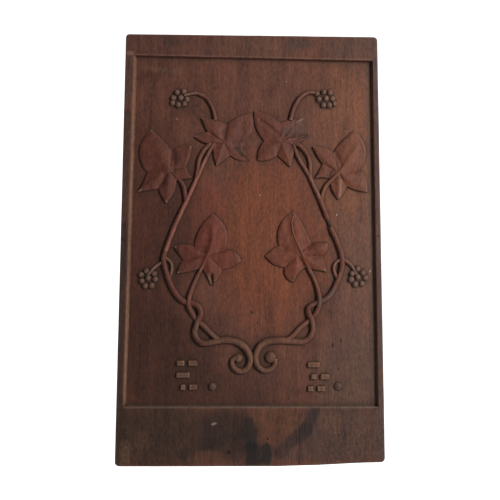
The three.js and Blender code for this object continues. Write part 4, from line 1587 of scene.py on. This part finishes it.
@dataclass
class Studio:
    """Pale sweep, soft light from the upper right, and the camera at the photograph's angle; metres."""

    camera_at: tuple[float, float, float] = (-0.01272, -0.59219, -0.06384)
    turn_degrees: float = 1.145
    tilt_degrees: float = 5.71
    roll_degrees: float = 0.2
    focal_pixels: float = 601.8
    sweep_half_width: float = 4.0
    sweep_front: float = -1.5
    sweep_back: float = 2.2
    sweep_radius: float = 1.0
    sweep_height: float = 4.0
    floor_level: float = -0.6
    sweep_steps: int = 13
    sweep_colour: Rgb = (0.80, 0.80, 0.79)
    sweep_roughness: float = 0.9
    glow_range: Pair = (0.3, 0.9)
    glow_colours: tuple[Rgb, Rgb] = ((0.0, 0.0, 0.0), (1.0, 1.0, 1.0))
    clip_start: float = 0.01
    key_at: tuple[float, float, float] = (0.80, -0.88, 0.32)
    key_size: Pair = (0.35, 0.5)
    key_power: float = 9.9
    key_colour: Rgb = (1.0, 0.97, 0.92)
    surround_strength: float = 0.07
    surround_colour: Rgb = (0.88, 1.0, 1.14)

    def sweep(self) -> bpy.types.Object:
        """Floor that curves up into a back wall: a line, a quarter circle and a line, carried sideways.

        Returns:
            The sweep, bright behind the plaque and plain in front of it.
        """
        arc = np.linspace(0.0, math.pi / 2, self.sweep_steps)
        bend = self.sweep_back - self.sweep_radius
        y = np.concatenate([[self.sweep_front], bend + self.sweep_radius * np.sin(arc), [self.sweep_back]])
        z = np.concatenate([[0.0], self.sweep_radius * (1 - np.cos(arc)), [self.sweep_height]])
        x = np.array([-self.sweep_half_width, self.sweep_half_width])
        grid = np.broadcast_arrays(x[None, :], y[:, None], z[:, None] + self.floor_level)
        mesh = bpy.data.meshes.new("sweep")
        mesh.from_pydata(np.stack(grid, axis=-1).reshape(-1, 3).tolist(), [],
                         grid_faces(len(y), 2, False).tolist())
        mesh.shade_smooth()
        made = bpy.data.objects.new("sweep", mesh)
        bpy.context.scene.collection.objects.link(made)
        graph = Graph("pale_paper")
        place = graph.node("ShaderNodeTexCoord", {}, {}, "Object")
        behind = graph.fade(graph.node("ShaderNodeSeparateXYZ", {}, {0: place}, "Y"), *self.glow_range)
        mesh.materials.append(graph.finish(graph.node("ShaderNodeBsdfPrincipled", {}, {
            "Base Color": self.sweep_colour, "Roughness": self.sweep_roughness,
            "Emission Color": graph.blend(behind, *self.glow_colours), "Emission Strength": 1.0})))
        return made

    def lights(self) -> None:
        """One soft key from the upper right and a dim even surround."""
        scene = bpy.context.scene
        world = bpy.data.worlds.new("surround")
        world.use_nodes = True
        surround = world.node_tree.nodes["Background"]
        surround.inputs["Color"].default_value = (*self.surround_colour, 1.0)
        surround.inputs["Strength"].default_value = self.surround_strength
        scene.world = world
        lamp = bpy.data.lights.new("key", "AREA")
        lamp.shape = "RECTANGLE"
        lamp.size, lamp.size_y = self.key_size
        lamp.energy = self.key_power
        lamp.color = self.key_colour
        key = bpy.data.objects.new("key", lamp)
        key.location = self.key_at
        key.rotation_mode = "QUATERNION"
        key.rotation_quaternion = (-Vector(self.key_at)).to_track_quat("-Z", "Y")
        scene.collection.objects.link(key)
        scene.view_settings.view_transform = "Standard"

    def camera(self) -> None:
        """Camera nearly square to the board, a little low, turned and tilted back towards it."""
        turn, tilt = math.radians(self.turn_degrees), math.radians(self.tilt_degrees)
        ahead = Vector((math.sin(turn) * math.cos(tilt), math.cos(turn) * math.cos(tilt), math.sin(tilt)))
        lens = bpy.data.cameras.new("camera")
        lens.sensor_width = SENSOR_MM
        lens.lens = SENSOR_MM * self.focal_pixels / IMAGE_SIDE
        lens.clip_start = self.clip_start
        made = bpy.data.objects.new("camera", lens)
        made.location = self.camera_at
        made.rotation_mode = "QUATERNION"
        roll = Quaternion((0, 0, 1), math.radians(self.roll_degrees))
        made.rotation_quaternion = ahead.to_track_quat("-Z", "Y") @ roll
        bpy.context.scene.collection.objects.link(made)
        bpy.context.scene.camera = made


def main() -> None:
    """Build the studio and the plaque and report each piece."""
    logging.basicConfig(level=logging.INFO, format="%(name)s: %(message)s")
    studio = Studio()
    studio.camera()
    studio.sweep()
    studio.lights()
    plaque = Plaque()
    panel = plaque.build()
    plaque.dress(panel, WoodFinish())
    triangles = sum(len(face.vertices) - 2 for face in panel.data.polygons)
    LOG.info("%s: %d points, %d triangles", panel.name, len(panel.data.vertices), triangles)


if __name__ == "__main__":
    main()
